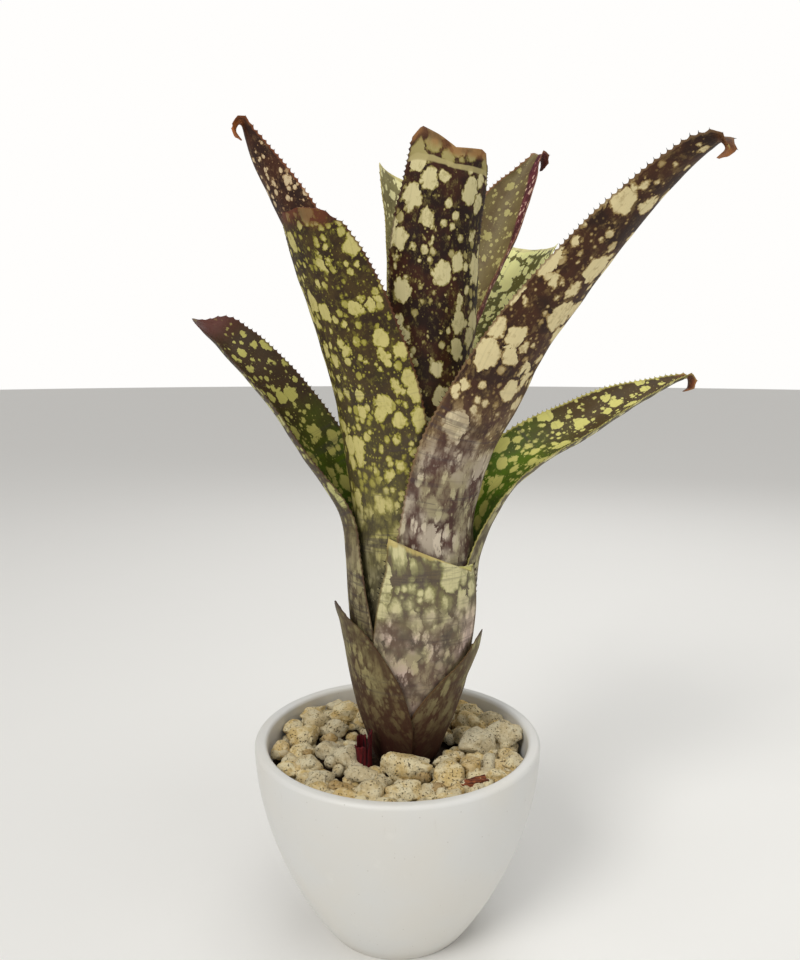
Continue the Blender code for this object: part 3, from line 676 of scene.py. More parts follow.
def soil_finish():
    """Dark, damp crumbs, with painted shade in the gaps between them."""
    finish = Finish("damp_soil")
    at = finish.place()
    crumbs = finish.cells(at, 1.6)
    lumps = finish.cloud(at, 3.0, 4.0, 0.65)
    colour = finish.mix(lumps.rises(0.35, 0.65), (44, 34, 26), (74, 54, 38))
    # Painted shade: darker in the gaps between the crumbs, where the relief sinks.
    colour = finish.mix(crumbs.rises(0.5, 0.8) * 0.6, colour, (26, 20, 16))
    return finish.done(colour, 0.95, 0.2, lumps - crumbs * 0.6, 0.9, 0.0009)


def fibre_finish(name, pale, dark, stretch, size):
    """Dry plant fibre: streaks that run along the stretched axis."""
    finish = Finish(name)
    at = finish.place()
    fibres = finish.cloud(at.stretched(*stretch), size, 4.0, 0.7)
    blotch = finish.cloud(at, 2.5, 3.0, 0.6)
    streaked = finish.mix(fibres.rises(0.35, 0.65), dark, pale)
    colour = finish.mix(blotch.rises(0.55, 0.75) * 0.5, streaked, dark)
    return finish.done(colour, 0.82, 0.3, fibres, 0.7, 0.0005)


def floor_finish(colour):
    finish = Finish("pale_floor")
    cloudy = finish.mix(finish.cloud(finish.place(), 60.0, 3.0) * 0.25, colour, (236, 235, 232))
    return finish.done(cloudy, 0.6, 0.2)


# ---------------------------------------------------------------- mesh helpers


def deselect():
    if bpy.context.object and bpy.context.object.mode != "OBJECT":
        bpy.ops.object.mode_set(mode="OBJECT")
    bpy.ops.object.select_all(action="DESELECT")


def make_current(obj):
    deselect()
    obj.select_set(True)
    bpy.context.view_layer.objects.active = obj


def added(primitive, **settings):
    """Adds a primitive with nothing else selected, and returns its object."""
    deselect()
    primitive(**settings)
    return bpy.context.object


@contextlib.contextmanager
def all_edited(outwards=True):
    """Edit mode with everything selected; the faces are turned outwards at the end if asked."""
    bpy.ops.object.mode_set(mode="EDIT")
    bpy.ops.mesh.select_all(action="SELECT")
    yield
    if outwards:
        bpy.ops.mesh.select_all(action="SELECT")
        bpy.ops.mesh.normals_make_consistent(inside=False)
    bpy.ops.object.mode_set(mode="OBJECT")


def finished(obj, name, material, slot, *stands_for):
    """Names a piece, puts its place in its mesh, gives it its finish and seats it on the part."""
    make_current(obj)
    bpy.ops.object.transform_apply(location=True, rotation=True, scale=True)
    obj.name = name
    obj.data.name = name
    obj.data.materials.clear()
    obj.data.materials.append(material)
    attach(obj, BODY)
    if stands_for:
        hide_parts(*stands_for)


def apply_modifiers(obj):
    make_current(obj)
    for modifier in list(obj.modifiers):
        bpy.ops.object.modifier_apply(modifier=modifier.name)


def joined(parts):
    make_current(parts[0])
    for part in parts:
        part.select_set(True)
    bpy.ops.object.join()
    return parts[0]


def points_of(obj):
    flat = np.empty(len(obj.data.vertices) * 3)
    obj.data.vertices.foreach_get("co", flat)
    return flat.reshape(-1, 3)


def set_points(obj, points):
    obj.data.vertices.foreach_set("co", np.asarray(points, float).ravel())
    obj.data.update()


def write_attribute(obj, name, values, kind="FLOAT"):
    layer = obj.data.attributes.new(name, kind, "POINT")
    values = np.asarray(values, float).ravel()
    layer.data.foreach_set("vector" if kind == "FLOAT_VECTOR" else "value", values)


def unit(vectors):
    """The vectors, each brought to a length of one."""
    return vectors / np.linalg.norm(vectors, axis=-1, keepdims=True)


def bumps(points, size, seed):
    """Smooth noise at each point, about -1 to 1."""
    shift = Vector((seed * 7.3, seed * 3.1, seed * 5.7))
    return np.array([noise.noise(Vector(p) / size + shift) for p in points])


def raised_rings(outline, sides):
    """A closed solid of rings: a disc at the outline's first ring, extruded ring by ring to its last."""
    radius, height = outline[0]
    obj = added(DISC, vertices=sides, radius=radius, fill_type="NGON", location=(0, 0, height))
    with all_edited():
        for wide, high in outline[1:]:
            bpy.ops.mesh.extrude_region_move(TRANSFORM_OT_translate={"value": (0, 0, high - height)})
            share = wide / radius
            bpy.ops.transform.resize(value=(share, share, 1), center_override=(0, 0, high))
            radius, height = wide, high
    bpy.ops.object.transform_apply(location=True, rotation=True, scale=True)
    return obj


# ---------------------------------------------------------------- leaves


def tube_radius(height):
    """The outer radius of the tube of leaf sheaths, at a height above the lowest leaf base."""
    heights, swell, _ = zip(*TUBE_FORM)
    return COLLAR_RADIUS + (TUBE_RADIUS - COLLAR_RADIUS) * float(np.interp(height, heights, swell))


def tube_middle(height):
    """The middle of the tube, at a height above the lowest leaf base."""
    heights, _, drift = zip(*TUBE_FORM)
    return np.array([PLANT[0] + float(np.interp(height, heights, drift)), PLANT[1], LEAF_BASE + height])


def leaf_stations(leaf, layer):
    """The leaf's stations: keel x y z, half width, arc radius, roll, skew and freedom, which is 0
    on the sheath and 1 on the blade."""
    turn = math.radians(leaf["azimuth"])
    out = np.array([math.cos(turn), math.sin(turn), 0])
    side = np.array([-math.sin(turn), math.cos(turn), 0])
    rows = []
    for height, half_angle in leaf["sheath"]:
        radius = tube_radius(height * MM) - layer * LEAF_STEP
        keel = tube_middle(height * MM) + out * radius
        rows.append([*keel, math.radians(half_angle) * radius, radius, 0, 0, 0])
    for row in leaf["blade"]:
        lean, sideways, height, half_width, half_arc, roll, skew = (*row, 0, 0)[:7]
        distance = tube_radius(height * MM) - layer * LEAF_STEP + lean * MM
        keel = tube_middle(height * MM) + out * distance + side * sideways * MM
        arc_radius = half_width * MM / math.radians(half_arc)
        rows.append([*keel, half_width * MM, arc_radius, math.radians(roll), skew, 1])
    return np.array(rows), out, side


def smooth_through(rows, spacing):
    """A smooth curve through the rows at even spacing; also how far along each point and row is."""
    chords = np.linalg.norm(np.diff(rows[:, :3], axis=0), axis=1)
    knots = np.concatenate([[0], np.cumsum(chords)])
    slopes = np.diff(rows, axis=0) / chords[:, None]
    tangents = np.empty_like(rows)
    tangents[0], tangents[-1] = slopes[0], slopes[-1]
    before, after = chords[:-1, None], chords[1:, None]
    tangents[1:-1] = (slopes[:-1] * after + slopes[1:] * before) / (before + after)
    along = np.linspace(0, knots[-1], max(8, round(knots[-1] / spacing)) + 1)
    part = np.clip(np.searchsorted(knots, along, side="right") - 1, 0, len(chords) - 1)
    step = chords[part][:, None]
    x = ((along - knots[part]) / chords[part])[:, None]
    smooth = (
        (2 * x**3 - 3 * x**2 + 1) * rows[part]
        + (x**3 - 2 * x**2 + x) * step * tangents[part]
        + (3 * x**2 - 2 * x**3) * rows[part + 1]
        + (x**3 - x**2) * step * tangents[part + 1]
    )
    return smooth, along[:, None], knots


def leaf_skin(name, layer, sizes):
    """The leaf's outer face: a grid of points, with what its margin, finish and spines need."""
    leaf = LEAVES[name]
    stations, out, side = leaf_stations(leaf, layer)
    rows, along, knots = smooth_through(stations, sizes.tooth_pitch / len(TOOTH_FORM))
    keel, half_width, arc_radius, roll, skew, freedom = np.split(rows, (3, 4, 5, 6, 7), axis=1)
    half_width, arc_radius = np.maximum(half_width, 0.0005), np.maximum(arc_radius, 0.0009)
    freedom = np.clip(freedom, 0, 1)
    forward = unit(np.gradient(keel, axis=0))
    across = unit(side - (forward @ side)[:, None] * forward)
    outward = unit((1 - freedom) * out + freedom * np.cross(across, forward))
    across, outward = (
        across * np.cos(roll) + outward * np.sin(roll),
        outward * np.cos(roll) - across * np.sin(roll),
    )
    # The columns draw together towards the margins.
    even = np.linspace(-1, 1, sizes.columns + 1)
    place = 0.25 * even + 0.75 * np.sin(even * math.pi / 2)
    angle = half_width / arc_radius * (place + skew)
    sine, cosine = np.sin(angle)[..., None], np.cos(angle)[..., None]
    keel, forward, across, outward = (each[:, None] for each in (keel, forward, across, outward))
    skin = keel + (across * sine - outward * (1 - cosine)) * arc_radius[..., None]
    normal = outward * cosine + across * sine
    sideways = (across * cosine - outward * sine) * np.sign(place)[:, None]
    if "tip" in leaf:
        drawn = np.interp(place, *zip(*leaf["tip"])) * MM
        share = np.clip((along - knots[-2]) / (knots[-1] - knots[-2]), 0, 1)
        skin += forward * (share * drawn)[..., None]

    edge = half_width * (1 - np.abs(place))
    opening = np.clip((along - knots[len(leaf["sheath"]) - 1]) / BLADE_OPENING, 0, 1)
    flat = skin.reshape(-1, 3)
    swell = (bumps(flat, 0.024, layer + 1) + 0.4 * bumps(flat, 0.009, layer + 3)).reshape(edge.shape)
    skin += normal * (swell * sizes.unevenness * (0.12 + 0.88 * opening))[..., None]

    # The teeth stand out from the margin, away from the sheath, the tip and a cut end.
    start, spine_length = {**DARK, **LOOKS[name]}["teeth"]
    toothed = np.clip((along - start * MM) / TOOTH_ENTRY, 0, 1)
    toothed *= np.clip((half_width - 0.0012) / 0.002, 0, 1)
    if "tip" in leaf:
        toothed *= np.clip((knots[-1] - along) / 0.002, 0, 1)
    phase = np.arange(len(along)) % len(TOOTH_FORM)
    tooth = np.take(TOOTH_FORM, phase)[:, None] * toothed * sizes.tooth_height
    margin = np.clip(1 - edge / TOOTH_MARGIN, 0, 1) ** 2
    skin += sideways * (tooth * margin)[..., None]
    crowns = np.flatnonzero((phase == 0) & (toothed[:, 0] > 0.3))
    ends = np.ix_(crowns, (0, -1))
    spines = {
        "root": skin[ends],
        "way": sideways[ends] * 0.85 + forward[crowns] * 0.55,
        "flat": normal[ends],
        "length": spine_length * MM * toothed[crowns] * np.ones((1, 2)),
    }
    layers = {
        "leaf_at": np.stack([half_width * place, along + 0 * edge, 0 * edge], axis=-1) / MM,
        "leaf_edge": edge / MM,
        "leaf_tip": (knots[-1] - along + 0 * edge) / MM,
    }
    return skin, layers, spines


def grid_leaf(skin):
    """A grid laid onto the skin's points, and each point's row and column there."""
    rows, columns = skin.shape[:2]
    grid = bpy.ops.mesh.primitive_grid_add
    leaf = added(grid, x_subdivisions=columns - 1, y_subdivisions=rows - 1, size=2)
    corners = (points_of(leaf) + 1) / 2
    column = np.rint(corners[:, 0] * (columns - 1)).astype(int)
    row = np.rint(corners[:, 1] * (rows - 1)).astype(int)
    set_points(leaf, skin[row, column])
    return leaf, row, column


def spine_shape():
    """One hooked spine along +X, a unit long, to be copied."""
    upright = (0, math.pi / 2, 0)
    spine = added(DISC, vertices=5, radius=0.19, fill_type="NGON", rotation=upright)
    bpy.ops.object.transform_apply(rotation=True)
    with all_edited():
        for reach, rise, share in SPINE_FORM:
            bpy.ops.mesh.extrude_region_move(TRANSFORM_OT_translate={"value": (reach, rise, 0)})
            bpy.ops.transform.resize(value=(share, share, share))
    points = points_of(spine)
    faces = [tuple(face.vertices) for face in spine.data.polygons]
    bpy.data.objects.remove(spine, do_unlink=True)
    return points, faces


def spine_copies(shape, spines, seed):
    """All of a leaf's spines as one mesh object."""
    points, faces = shape
    root, way, flat = (spines[key].reshape(-1, 3) for key in ("root", "way", "flat"))
    way = unit(way)
    third = unit(np.cross(flat, way))
    length = spines["length"].ravel() * np.random.default_rng(seed).uniform(0.75, 1.2, len(root))
    frames = np.stack([way, third, np.cross(way, third)], axis=1) * length[:, None, None]
    start = root - way * (length * 0.18)[:, None]
    copies = np.einsum("pk,nkc->npc", points, frames) + start[:, None]
    count = len(points)
    all_faces = [tuple(v + n * count for v in face) for n in range(len(root)) for face in faces]
    mesh = bpy.data.meshes.new("spines")
    mesh.from_pydata(copies.reshape(-1, 3).tolist(), [], all_faces)
    obj = bpy.data.objects.new("spines", mesh)
    bpy.context.scene.collection.objects.link(obj)
    return obj


def make_leaf(name, layer, sizes, shape):
    """A leaf of its skin's grid, thin at the margins and the tip, with its spines joined on."""
    skin, layers, spines = leaf_skin(name, layer, sizes)
    leaf, row, column = grid_leaf(skin)
    for key, values in layers.items():
        kind = "FLOAT_VECTOR" if values.ndim == 3 else "FLOAT"
        write_attribute(leaf, key, values[row, column], kind)
    edge, to_tip = (layers[key][row, column] * MM for key in ("leaf_edge", "leaf_tip"))
    body = np.clip(0.3 + 0.7 * np.minimum(edge, to_tip + 0.0008) / 0.005, 0.3, 1)
    group = leaf.vertex_groups.new(name="thickness")
    for index, weight in enumerate(body):
        group.add([index], float(weight), "REPLACE")
    thick = leaf.modifiers.new("thickness", "SOLIDIFY")
    thick.thickness = sizes.thickness
    thick.offset = -1
    thick.vertex_group = group.name
    apply_modifiers(leaf)
    leaf.vertex_groups.clear()
    count = len(leaf.data.vertices)
    write_attribute(leaf, "leaf_inner", np.arange(count) >= len(body))
    write_attribute(leaf, "leaf_spine", np.zeros(count))
    if len(spines["root"]):
        prickles = spine_copies(shape, spines, layer)
        write_attribute(prickles, "leaf_spine", np.ones(len(prickles.data.vertices)))
        joined((leaf, prickles))
    leaf.data.shade_smooth()
    finished(leaf, name + "_skin", leaf_finish(name, layer + 1), "leaf", name)


# ---------------------------------------------------------------- stones


def lumpy(obj, seed, lobes, roughness):
    """Shapes a stone: worn flats, rounded lobes with creases between them, and small pits."""
    points = points_of(obj)
    centre = points.mean(axis=0)
    arm = points - centre
    half = np.abs(arm).max(axis=0)
    ball = arm / half
    for flat in unit(np.random.default_rng(seed).normal(size=(9, 3))):
        over = np.clip(ball @ flat - 0.66, 0, None)
        ball -= np.outer(over * 0.8, flat)
    size = half.mean()
    lobe = np.abs(bumps(ball * size, size * 1.15, seed)) - 0.22
    knob = np.abs(bumps(ball * size, size * 0.5, seed + 11)) - 0.2
    grain = bumps(points, 0.0009, seed + 5) * 0.00012
    pit = np.clip(bumps(points, 0.0012, seed + 23) - 0.3, 0, 1)
    ball *= (1.08 + lobes * lobe + lobes * 0.35 * knob)[:, None]
    shaped = ball * half
    shaped += unit(shaped) * (grain - roughness * pit)[:, None]
    set_points(obj, centre + shaped)
    # Its own tint, out of a fresh draw from the same seed.
    tint = np.random.default_rng(seed).uniform()
    write_attribute(obj, "stone_tint", np.full(len(points), tint))
    obj.data.shade_smooth()


def make_stone(node, seed, sizes, material):
    """A detailed stone on a part's plain one: the same place and proportions, swelled to touch."""
    deselect()
    stone = frame["nodes"][node].copy()
    stone.data = stone.data.copy()
    for key in list(stone.keys()):
        del stone[key]
    stone.parent = None
    bpy.context.scene.collection.objects.link(stone)
    make_current(stone)
    with all_edited(outwards=False):
        bpy.ops.mesh.remove_doubles(threshold=0.00002)
        centre = sum((Vector(corner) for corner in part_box(node)), Vector()) / 2
        bpy.ops.transform.resize(value=[sizes.swell] * 3, center_override=centre)
        bpy.ops.transform.translate(value=(0, 0, sizes.lift))
    rounded = stone.modifiers.new("rounded", "SUBSURF")
    rounded.levels = rounded.render_levels = 2
    apply_modifiers(stone)
    lumpy(stone, seed, 0.3, 0.0011)
    finished(stone, node + "_pumice", material, "pumice", node)


def small_stone(seed, place, size, turn, detail):
    """A free-lying stone from a ball, lumped like the large ones."""
    stone = added(bpy.ops.mesh.primitive_ico_sphere_add, subdivisions=detail, radius=0.5)
    stone.data.transform(Matrix.Rotation(turn, 4, "Z") @ Matrix.Diagonal((*size, 1)))
    lumpy(stone, seed, 0.34, 0.0008)
    stone.data.transform(Matrix.Translation(place))
    return stone


# ---------------------------------------------------------------- debris


def shoot_scale(number, turn, lean, tall):
    """One dried scale of the side shoot: a curled grid, given its thickness."""
    low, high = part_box("side_shoot_base")
    centre = (low + high) / 2 + SHOOT_ASIDE
    high.z += SHOOT_RISE
    scale = added(bpy.ops.mesh.primitive_grid_add, x_subdivisions=12, y_subdivisions=24, size=2)
    points = points_of(scale)
    place, share = points[:, 0].copy(), (points[:, 1] + 1) / 2
    torn = bumps(np.outer(place * 2.2, (1, 0, 0)), 1.0, number + 2)
    radius = (0.0036 - 0.0012 * share) * (1 - 0.08 * number) + lean * 0.006 * share**2
    angle = turn + place * (1.25 - 0.35 * share)
    points[:, 0] = centre.x + radius * np.cos(angle)
    points[:, 1] = centre.y + radius * np.sin(angle)
    points[:, 2] = low.z + share * (1 + 0.12 * torn * share**3) * (high.z - low.z) * tall
    set_points(scale, points)
    scale.modifiers.new("thickness", "SOLIDIFY").thickness = 0.0005
    apply_modifiers(scale)
    with all_edited():
        pass  # Leaving edit mode turns the faces of the new shell outwards.
    scale.data.shade_smooth()
    return scale


def bark_flake():
    """A split and weathered flake of bark, along the part's plain chip."""
    low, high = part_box("bark_chip")
    chip = added(bpy.ops.mesh.primitive_cube_add, size=1, location=(low + high) / 2)
    chip.scale = [side * share for side, share in zip(high - low, BARK_SHARE)]
    chip.rotation_euler = BARK_TURN
    bpy.ops.object.transform_apply(location=True, rotation=True, scale=True)
    with all_edited(outwards=False):
        bpy.ops.mesh.subdivide(number_cuts=9)
        bpy.ops.mesh.bevel(offset=0.00012, segments=1, affect="EDGES")
    points = points_of(chip)
    middle = points.mean(axis=0)
    split = bumps((points - middle) * (0.25, 1, 1), 0.0009, 9)
    set_points(chip, middle + (points - middle) * (1 + 0.28 * split)[:, None])
    chip.data.shade_smooth()
    return chip


# ---------------------------------------------------------------- settings


class PotSettings(bpy.types.PropertyGroup):
    sides: IntProperty(name="Sides", description="Flat sides round the turned pot", default=144, min=24)
    foot_radius: FloatProperty(
        name="Foot radius", description="Outer radius of the pot's foot", default=0.0305, unit="LENGTH"
    )
    wall: FloatProperty(
        name="Wall", description="Thickness of the pot's wall", default=0.0052, unit="LENGTH"
    )
    lip: FloatProperty(name="Lip", description="Rounding of the rim", default=0.0018, unit="LENGTH")
    glaze: FloatVectorProperty(
        name="Glaze",
        description="Colour of the pot's satin glaze",
        size=3,
        default=(221 / 255, 221 / 255, 218 / 255),
        subtype="COLOR_GAMMA",
    )


class LeafSettings(bpy.types.PropertyGroup):
    thickness: FloatProperty(
        name="Thickness",
        description="Thickness of a leaf along its keel",
        default=LEAF_THICKNESS,
        unit="LENGTH",
    )
    columns: IntProperty(name="Columns", description="Faces across a leaf", default=26, min=8)
    tooth_pitch: FloatProperty(
        name="Tooth pitch",
        description="Distance between two teeth of a margin",
        default=0.0022,
        unit="LENGTH",
    )
    tooth_height: FloatProperty(
        name="Tooth height",
        description="How far a tooth stands out of the margin",
        default=0.0007,
        unit="LENGTH",
    )
    unevenness: FloatProperty(
        name="Unevenness",
        description="How far the open blade waves in and out",
        default=0.0009,
        unit="LENGTH",
    )


class StoneSettings(bpy.types.PropertyGroup):
    swell: FloatProperty(
        name="Swell", description="Width of a stone against its plain solid", default=1.26
    )
    lift: FloatProperty(
        name="Lift", description="How far the stones lie above the bed", default=0.0014, unit="LENGTH"
    )
    pebbles: IntProperty(
        name="Pebbles", description="Number of pebbles along the pot's wall", default=64, min=0
    )
    grit: IntProperty(
        name="Grit", description="Number of small grains between the stones", default=380, min=0
    )
    grit_size: FloatProperty(
        name="Grit size", description="Middling size of a small grain", default=0.0052, unit="LENGTH"
    )


class StageSettings(bpy.types.PropertyGroup):
    floor: FloatVectorProperty(
        name="Floor",
        description="Colour of the floor",
        size=3,
        default=(240 / 255, 239 / 255, 236 / 255),
        subtype="COLOR_GAMMA",
    )
    window: FloatProperty(
        name="Window", description="Strength of the light from the front left", default=1.32
    )
    light: FloatProperty(name="Light", description="Power of the fill light, in watts", default=1.3)
    room: FloatProperty(name="Room", description="Strength of the soft light from all round", default=0.34)


class PlantSettings(bpy.types.PropertyGroup):
    pot: PointerProperty(type=PotSettings, name="Pot", description="The pot's sizes and colour")
    leaves: PointerProperty(type=LeafSettings, name="Leaves", description="The leaves' sizes")
    stones: PointerProperty(type=StoneSettings, name="Stones", description="The top dressing")
    stage: PointerProperty(type=StageSettings, name="Stage", description="The floor and the light")


# ---------------------------------------------------------------- operators


class MakePot(bpy.types.Operator):
    """Make the turned pot with its rounded rim"""

    bl_idname = "bromeliad.make_pot"
    bl_label = "Make the pot"

    def execute(self, context):
        sizes = context.scene.bromeliad.pot
        foot, lip = sizes.foot_radius, sizes.lip
        height = POT_HIGH.z
        rim = (POT_HIGH.x - POT_LOW.x) / 2

        def outer(high):
            share = min(max(high / height, 0), 1)
            return foot + (rim - foot) * (1 - (1 - share) ** POT_ROUNDING) ** (1 / POT_STRAIGHTNESS)

        crown = height - lip
        outline = [(foot - 0.0012, 0), (foot - 0.0003, 0.0003)]
        outline += [(outer(high), high) for high in crown * np.linspace(0.006, 1, 34) ** 1.5]
        # The rim rounds over outside and then in, each on an arc of the lip's radius.
        for middle, turns in ((rim - lip, (15, 90, 6)), (rim - sizes.wall + lip, (90, 180, 7))):
            for turn in np.radians(np.linspace(*turns)):
                outline.append((middle + lip * math.cos(turn), crown + lip * math.sin(turn)))
        floor = MEDIUM_LOW.z - 0.0004
        for high in np.linspace(crown - 0.003, floor + 0.002, 16):
            outline.append((outer(high) - sizes.wall, high))
        outline.append((outer(floor) - sizes.wall - 0.002, floor))
        pot = raised_rings(outline, sizes.sides)
        points = points_of(pot)
        # A cast pot isn't quite round or even.
        drift = bumps(points, 0.045, 5) * 0.00018 * (points[:, 2] > 0.001)
        radial = points * (1, 1, 0)
        reach = np.maximum(np.linalg.norm(radial, axis=1), 1e-6)
        set_points(pot, points + radial / reach[:, None] * drift[:, None])
        make_current(pot)
        bpy.ops.object.shade_smooth_by_angle(angle=math.radians(38))
        glaze = pot_finish([255 * part for part in sizes.glaze])
        finished(pot, "pot_glazed", glaze, "pot", "pot")
        return {"FINISHED"}


class MakeSoil(bpy.types.Operator):
    """Make the crumbly growing medium and finish the stem in it"""

    bl_idname = "bromeliad.make_soil"
    bl_label = "Make the growing medium"

    def execute(self, context):
        top, wide = MEDIUM_HIGH.z, MEDIUM_HIGH.x
        lip = context.scene.bromeliad.pot.lip
        rings = [(wide - lip - 0.012, top - 0.02), (wide - 0.003, top - 0.006)]
        rings.append((wide - 0.0004, top - 0.001))
        rings += [(wide * share, top) for share in np.linspace(0.97, 0.06, 26)]
        soil = raised_rings(rings, 96)
        points = points_of(soil)
        crumbs = 0.0012 * bumps(points, 0.004, 3) + 0.0005 * bumps(points, 0.0015, 4)
        points[:, 2] += crumbs * (points[:, 2] > top - 0.0005) - 0.0006
        set_points(soil, points)
        soil.data.shade_smooth()
        finished(soil, "soil", soil_finish(), "medium", "growing_medium")
        stem = frame["nodes"]["stem"]
        stem.data.materials.clear()
        bark = fibre_finish("stem_fibre", (96, 52, 38), (44, 20, 18), (1, 1, 0.12), 1.2)
        stem.data.materials.append(bark)
        return {"FINISHED"}


class MakeLeaves(bpy.types.Operator):
    """Make the nested leaves with their toothed, spiny margins"""

    bl_idname = "bromeliad.make_leaves"
    bl_label = "Make the leaves"

    def execute(self, context):
        shape = spine_shape()
        for layer, name in enumerate(LEAVES):
            make_leaf(name, layer, context.scene.bromeliad.leaves, shape)
        return {"FINISHED"}


class MakeStones(bpy.types.Operator):
    """Make the pumice top dressing and the grit between the stones"""

    bl_idname = "bromeliad.make_stones"
    bl_label = "Make the stones"

    def execute(self, context):
        sizes = context.scene.bromeliad.stones
        pumice = pumice_finish()
        nodes = sorted(node for node in frame["nodes"] if node.startswith("stone_"))
        for seed, node in enumerate(nodes, start=1):
            make_stone(node, seed, sizes, pumice)
        top = MEDIUM_HIGH.z
        for number, (x, y, length, width, turn) in enumerate(SMALL_STONES, start=1):
            height = 0.75 * math.sqrt(length * width) * MM
            place = Vector((x * MM, y * MM, top + height * 0.55))
            size = (length * MM, width * MM, height)
            stone = small_stone(SMALL_STONE_SEED + number, place, size, math.radians(turn), 4)
            finished(stone, f"small_stone_{number}", pumice, "pumice")
        spread = np.random.default_rng(7)
        wall = MEDIUM_HIGH.x - 0.001
        collar = COLLAR_RADIUS + 0.004
        grains = []
        while len(grains) < sizes.grit:
            angle = spread.uniform(0, 2 * math.pi)
            reach = math.sqrt(spread.uniform((collar / wall) ** 2, 1)) * wall
            x, y = reach * math.cos(angle), reach * math.sin(angle)
            if math.hypot(x - PLANT[0], y - PLANT[1]) < collar:
                continue
            across = sizes.grit_size * spread.uniform(0.5, 1.4)
            size = Vector((across * spread.uniform(0.9, 1.4), across, across * spread.uniform(0.7, 1)))
            place = Vector((x, y, top + spread.uniform(-0.1, 0.6) * across + 0.001))
            grains.append(small_stone(GRIT_SEED + len(grains), place, size, angle * 3, 2))
        for number in range(sizes.pebbles):
            angle = 2 * math.pi * (number + spread.uniform(0.1, 0.9)) / sizes.pebbles
            reach = wall - spread.uniform(0.0035, 0.014)
            across = spread.uniform(0.0075, 0.0105)
            size = Vector((across * spread.uniform(1, 1.35), across, across * 0.8))
            height = top + across * spread.uniform(0.15, 0.4)
            place = Vector((reach * math.cos(angle), reach * math.sin(angle), height))
            grains.append(small_stone(PEBBLE_SEED + number, place, size, angle * 5, 3))
        finished(joined(grains), "pumice_grit", pumice, "pumice")
        return {"FINISHED"}


class MakeDebris(bpy.types.Operator):
    """Make the dried side shoot base and the flake of bark"""

    bl_idname = "bromeliad.make_debris"
    bl_label = "Make the debris"

    def execute(self, context):
        red = fibre_finish("dried_bract", (108, 18, 24), (34, 6, 10), (1, 1, 0.1), 0.8)
        scales = joined([shoot_scale(number, *form) for number, form in enumerate(SHOOT_SCALES)])
        finished(scales, "side_shoot_scales", red, "dried_bract", "side_shoot_base")
        bark = fibre_finish("bark", (150, 84, 50), (70, 30, 22), (0.15, 1, 1), 0.7)
        finished(bark_flake(), "bark_flake", bark, "bark", "bark_chip")
        return {"FINISHED"}


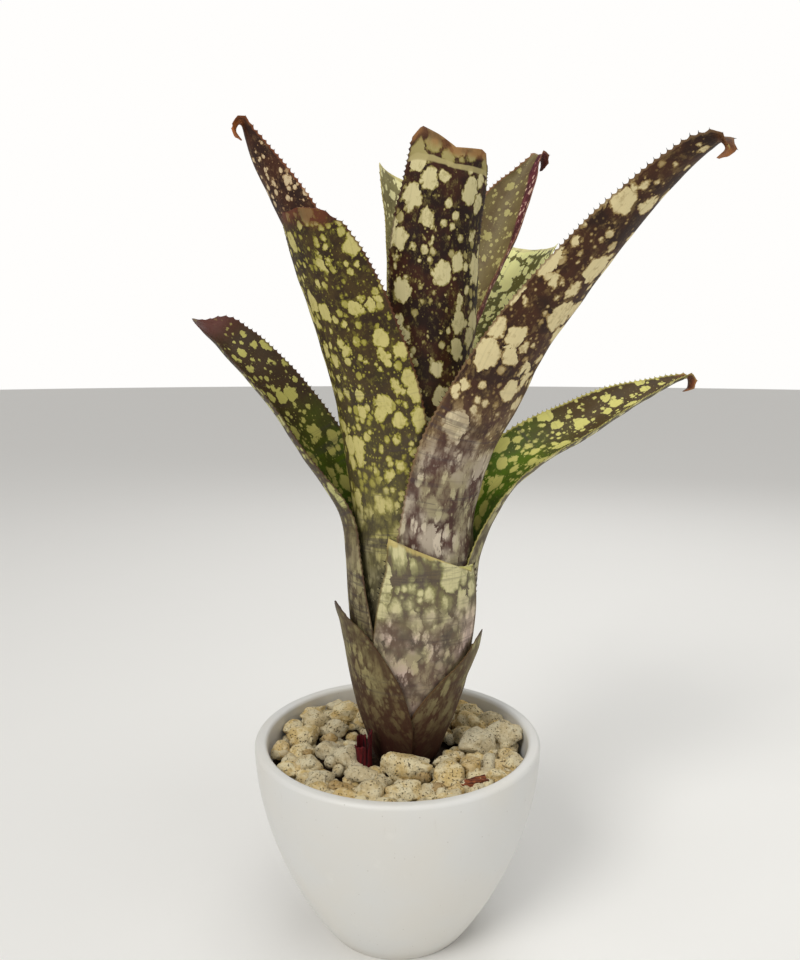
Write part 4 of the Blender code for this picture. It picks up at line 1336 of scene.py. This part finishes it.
class MakeStage(bpy.types.Operator):
    """Make the pale floor, the soft studio light and the camera"""

    bl_idname = "bromeliad.make_stage"
    bl_label = "Make the stage"

    def execute(self, context):
        scene = context.scene
        settings = scene.bromeliad.stage
        floor = added(DISC, vertices=96, radius=6, fill_type="NGON")
        floor.name = "floor"
        floor.data.materials.append(floor_finish([255 * part for part in settings.floor]))

        # The room lights softly, and its wall is white where it is seen.
        scene.world = scene.world or bpy.data.worlds.new("soft_room")
        scene.world.use_nodes = True
        tree = scene.world.node_tree
        background = tree.nodes["Background"].inputs
        background["Color"].default_value = (1.0, 0.99, 0.975, 1)
        room = tree.nodes.new("ShaderNodeMapRange")
        room.inputs["To Min"].default_value = settings.room
        rays = tree.nodes.new("ShaderNodeLightPath")
        tree.links.new(rays.outputs["Is Camera Ray"], room.inputs["Value"])
        tree.links.new(room.outputs["Result"], background["Strength"])

        sun = added(bpy.ops.object.light_add, type="SUN", location=WINDOW_PLACE)
        sun.name = "window"
        sun.data.energy = settings.window
        sun.data.angle = WINDOW_ANGLE
        sun.data.color = (1.0, 0.985, 0.96)
        sun.rotation_euler = (AIM - WINDOW_PLACE).to_track_quat("-Z", "Y").to_euler()
        for name, place, size, share, colour in LAMPS:
            lamp = added(bpy.ops.object.light_add, type="AREA", location=place)
            lamp.name = name
            lamp.data.size = size
            lamp.data.energy = settings.light * share
            lamp.data.color = colour
            lamp.rotation_euler = (AIM - Vector(place)).to_track_quat("-Z", "Y").to_euler()

        tilt = (CAMERA_TILT, 0, 0)
        scene.camera = added(bpy.ops.object.camera_add, location=CAMERA_PLACE, rotation=tilt)
        camera = scene.camera.data
        camera.lens = CAMERA_LENS
        camera.sensor_width = 36
        camera.shift_x = CAMERA_SHIFT
        camera.clip_start = 0.01
        camera.clip_end = 50
        scene.view_settings.view_transform = "Standard"
        return {"FINISHED"}


class BromeliadPanel(bpy.types.Panel):
    """The pieces and their settings"""

    bl_idname = "VIEW3D_PT_bromeliad"
    bl_label = "Potted bromeliad"
    bl_space_type = "VIEW_3D"
    bl_region_type = "UI"
    bl_category = "Bromeliad"

    def draw(self, context):
        settings = context.scene.bromeliad
        for group, operators in (
            (settings.pot, (MakePot, MakeSoil)),
            (settings.leaves, (MakeLeaves,)),
            (settings.stones, (MakeStones, MakeDebris)),
            (settings.stage, (MakeStage,)),
        ):
            box = self.layout.box()
            for name in type(group).__annotations__:
                box.prop(group, name)
            for operator in operators:
                box.operator(operator.bl_idname)


# Every group of settings comes before the one that points to it.
SETTINGS = (PotSettings, LeafSettings, StoneSettings, StageSettings, PlantSettings)
OPERATORS = (MakePot, MakeSoil, MakeLeaves, MakeStones, MakeDebris, MakeStage)
CLASSES = (*SETTINGS, *OPERATORS, BromeliadPanel)


def register():
    for cls in CLASSES:
        bpy.utils.register_class(cls)
    bpy.types.Scene.bromeliad = PointerProperty(type=PlantSettings)


def unregister():
    del bpy.types.Scene.bromeliad
    for cls in reversed(CLASSES):
        bpy.utils.unregister_class(cls)


def main():
    register()
    for obj in list(bpy.data.objects):
        if obj.name in ("Cube", "Light", "Camera"):
            bpy.data.objects.remove(obj, do_unlink=True)
    bpy.ops.bromeliad.make_pot()
    bpy.ops.bromeliad.make_soil()
    bpy.ops.bromeliad.make_leaves()
    bpy.ops.bromeliad.make_stones()
    bpy.ops.bromeliad.make_debris()
    bpy.ops.bromeliad.make_stage()


if __name__ == "__main__":
    main()
